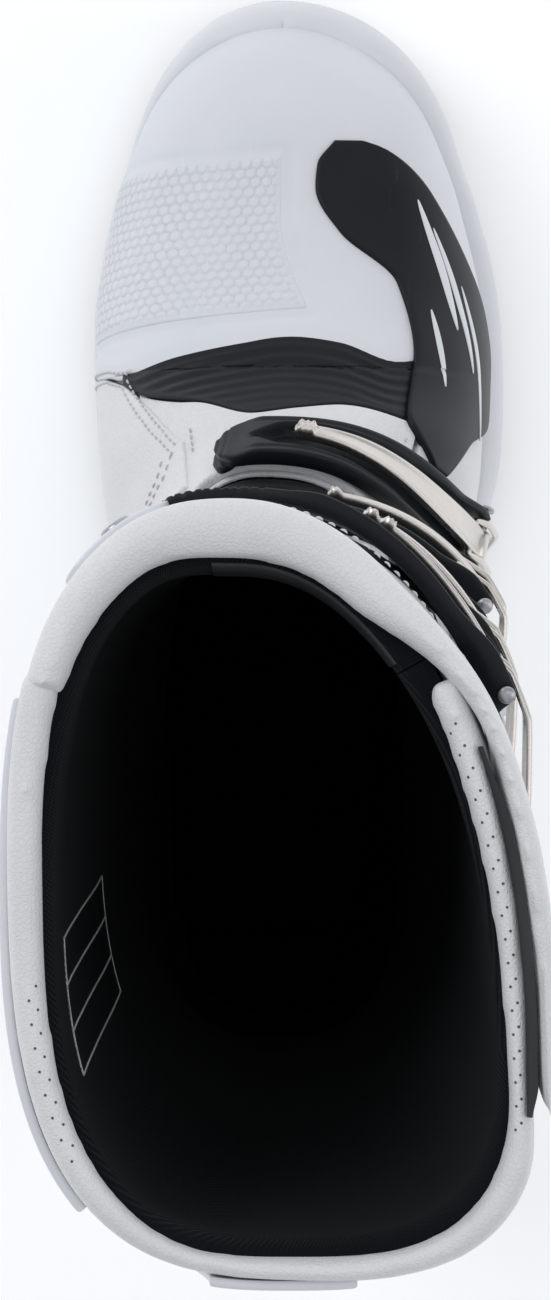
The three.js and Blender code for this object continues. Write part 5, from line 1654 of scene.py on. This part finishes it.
def make_link(number, strap):
    """Wire from a bar on the lever, over the pin on both sides, to the lip of the hook plate."""
    _, _, per_degree = pin_frame(strap)
    bar = strap["pin"] + LINK_REACH / per_degree
    base = strap["base"]
    crest = PIN_LIFT + PIN_RADIUS + WIRE_RADIUS + 0.8
    hook_height = PLATE_HEIGHT + WIRE_RADIUS + 2.2
    stops = [(bar, base + PIN_LIFT), (strap["pin"] + 2, base + crest), (strap["pin"] - 4, base + crest),
             (mix(strap["pin"], strap["hook"], 0.62), base + PIN_LIFT - 1.4), (strap["hook"], hook_height)]
    arms = [np.array([on_strap(strap, q, sign * LINK_OFFSET, h) for q, h in stops]) for sign in (1, -1)]
    corners = np.concatenate([arms[0], arms[1][::-1]])
    toward_last, toward_next = np.roll(corners, 1, 0), np.roll(corners, -1, 0)
    doubled = np.stack([mix(corners, toward_last, 0.08), mix(corners, toward_next, 0.08)], 1)
    link = wire(f"buckle_link_{number}", rounded_loop(doubled.reshape(-1, 3), 2), WIRE_RADIUS)
    dress(link, BRIGHT, f"link_{number}_body", f"link_{number}", slot="bright_metal")


# %% [markdown]
# What the link hooks on, and what holds the other end of the strap.

# %% Hook plate, its screw, and the clamp at the far end
def make_catch(number, strap):
    """Hook plate with its screw, and the clamp that holds the strap's fixed end."""
    start, stop, hook = strap["back"], strap["hook"] - 2.4, strap["hook"]
    low = PLATE_HEIGHT

    def half(q):
        return 8.0 * mix(1.0, 0.7, ramp(q, hook - 9, hook - 3)) * round_end(q, start, stop + 4, 6)

    def high(q, w):
        """Flat plate with a rim, rising to the lip that holds the link."""
        lip = 3.4 * ramp(q, hook - 6.4, hook - 5.2) * (1 - ramp(np.abs(w), 4.0, 5.0))
        rim = 0.5 * ramp(np.abs(w), half(q) - 2.0, half(q) - 1.4)
        return low + 1.9 + rim + lip

    body = strap["catch"]
    plate_piece = strap_slab(f"hook_plate_{number}", strap, (start, stop), half, low - 0.5, high, radius=0.6)
    dress(plate_piece, WHITE_SHELL, body, f"catch_{number}", slot="white_shell")
    middle = mix(hook, start, 0.68)
    seat = on_strap(strap, middle, 0, low)
    out = normal(strap["path"](np.array(middle)), np.array(middle))
    screw(f"hook_screw_{number}", seat + out * 2.0, out, 4.0, 2.2, body, f"catch_screw_{number}")
    start, stop = strap["anchor"]
    clamp_high = 4.6 if number == 1 else strap["base"] + 2.4
    clamp = strap_slab(f"strap_clamp_{number}", strap, (start, stop),
                       lambda q: 7.5 * round_end(q, start, stop, 4), PLATE_HEIGHT - 0.6, clamp_high,
                       radius=0.7)
    home = strap["home"]
    look, slot = (BLACK_SHELL, "black_shell") if number == 1 else (WHITE_SHELL, "white_shell")
    dress(clamp, look, home, f"strap_anchor_{number}", slot=slot)
    if number > 1:
        middle = (start + stop) / 2
        out = normal(strap["path"](np.array(middle)), np.array(middle))
        seat = on_strap(strap, middle, 0, clamp_high - 0.2)
        profile = [(0.4, -1), (4.2, 0), (4.2, 0.7), (3.6, 1.4), (2.0, 1.6), (1.9, 0.5), (0.3, 0.4)]
        dress(turned(f"clamp_rivet_{number}", seat, out, profile, lobes={4, 5}), STEEL, home)


for number, strap in straps.items():
    make_strap(number, strap)
    make_lever(number, strap)
    make_link(number, strap)
    make_catch(number, strap)
print("buckles made")
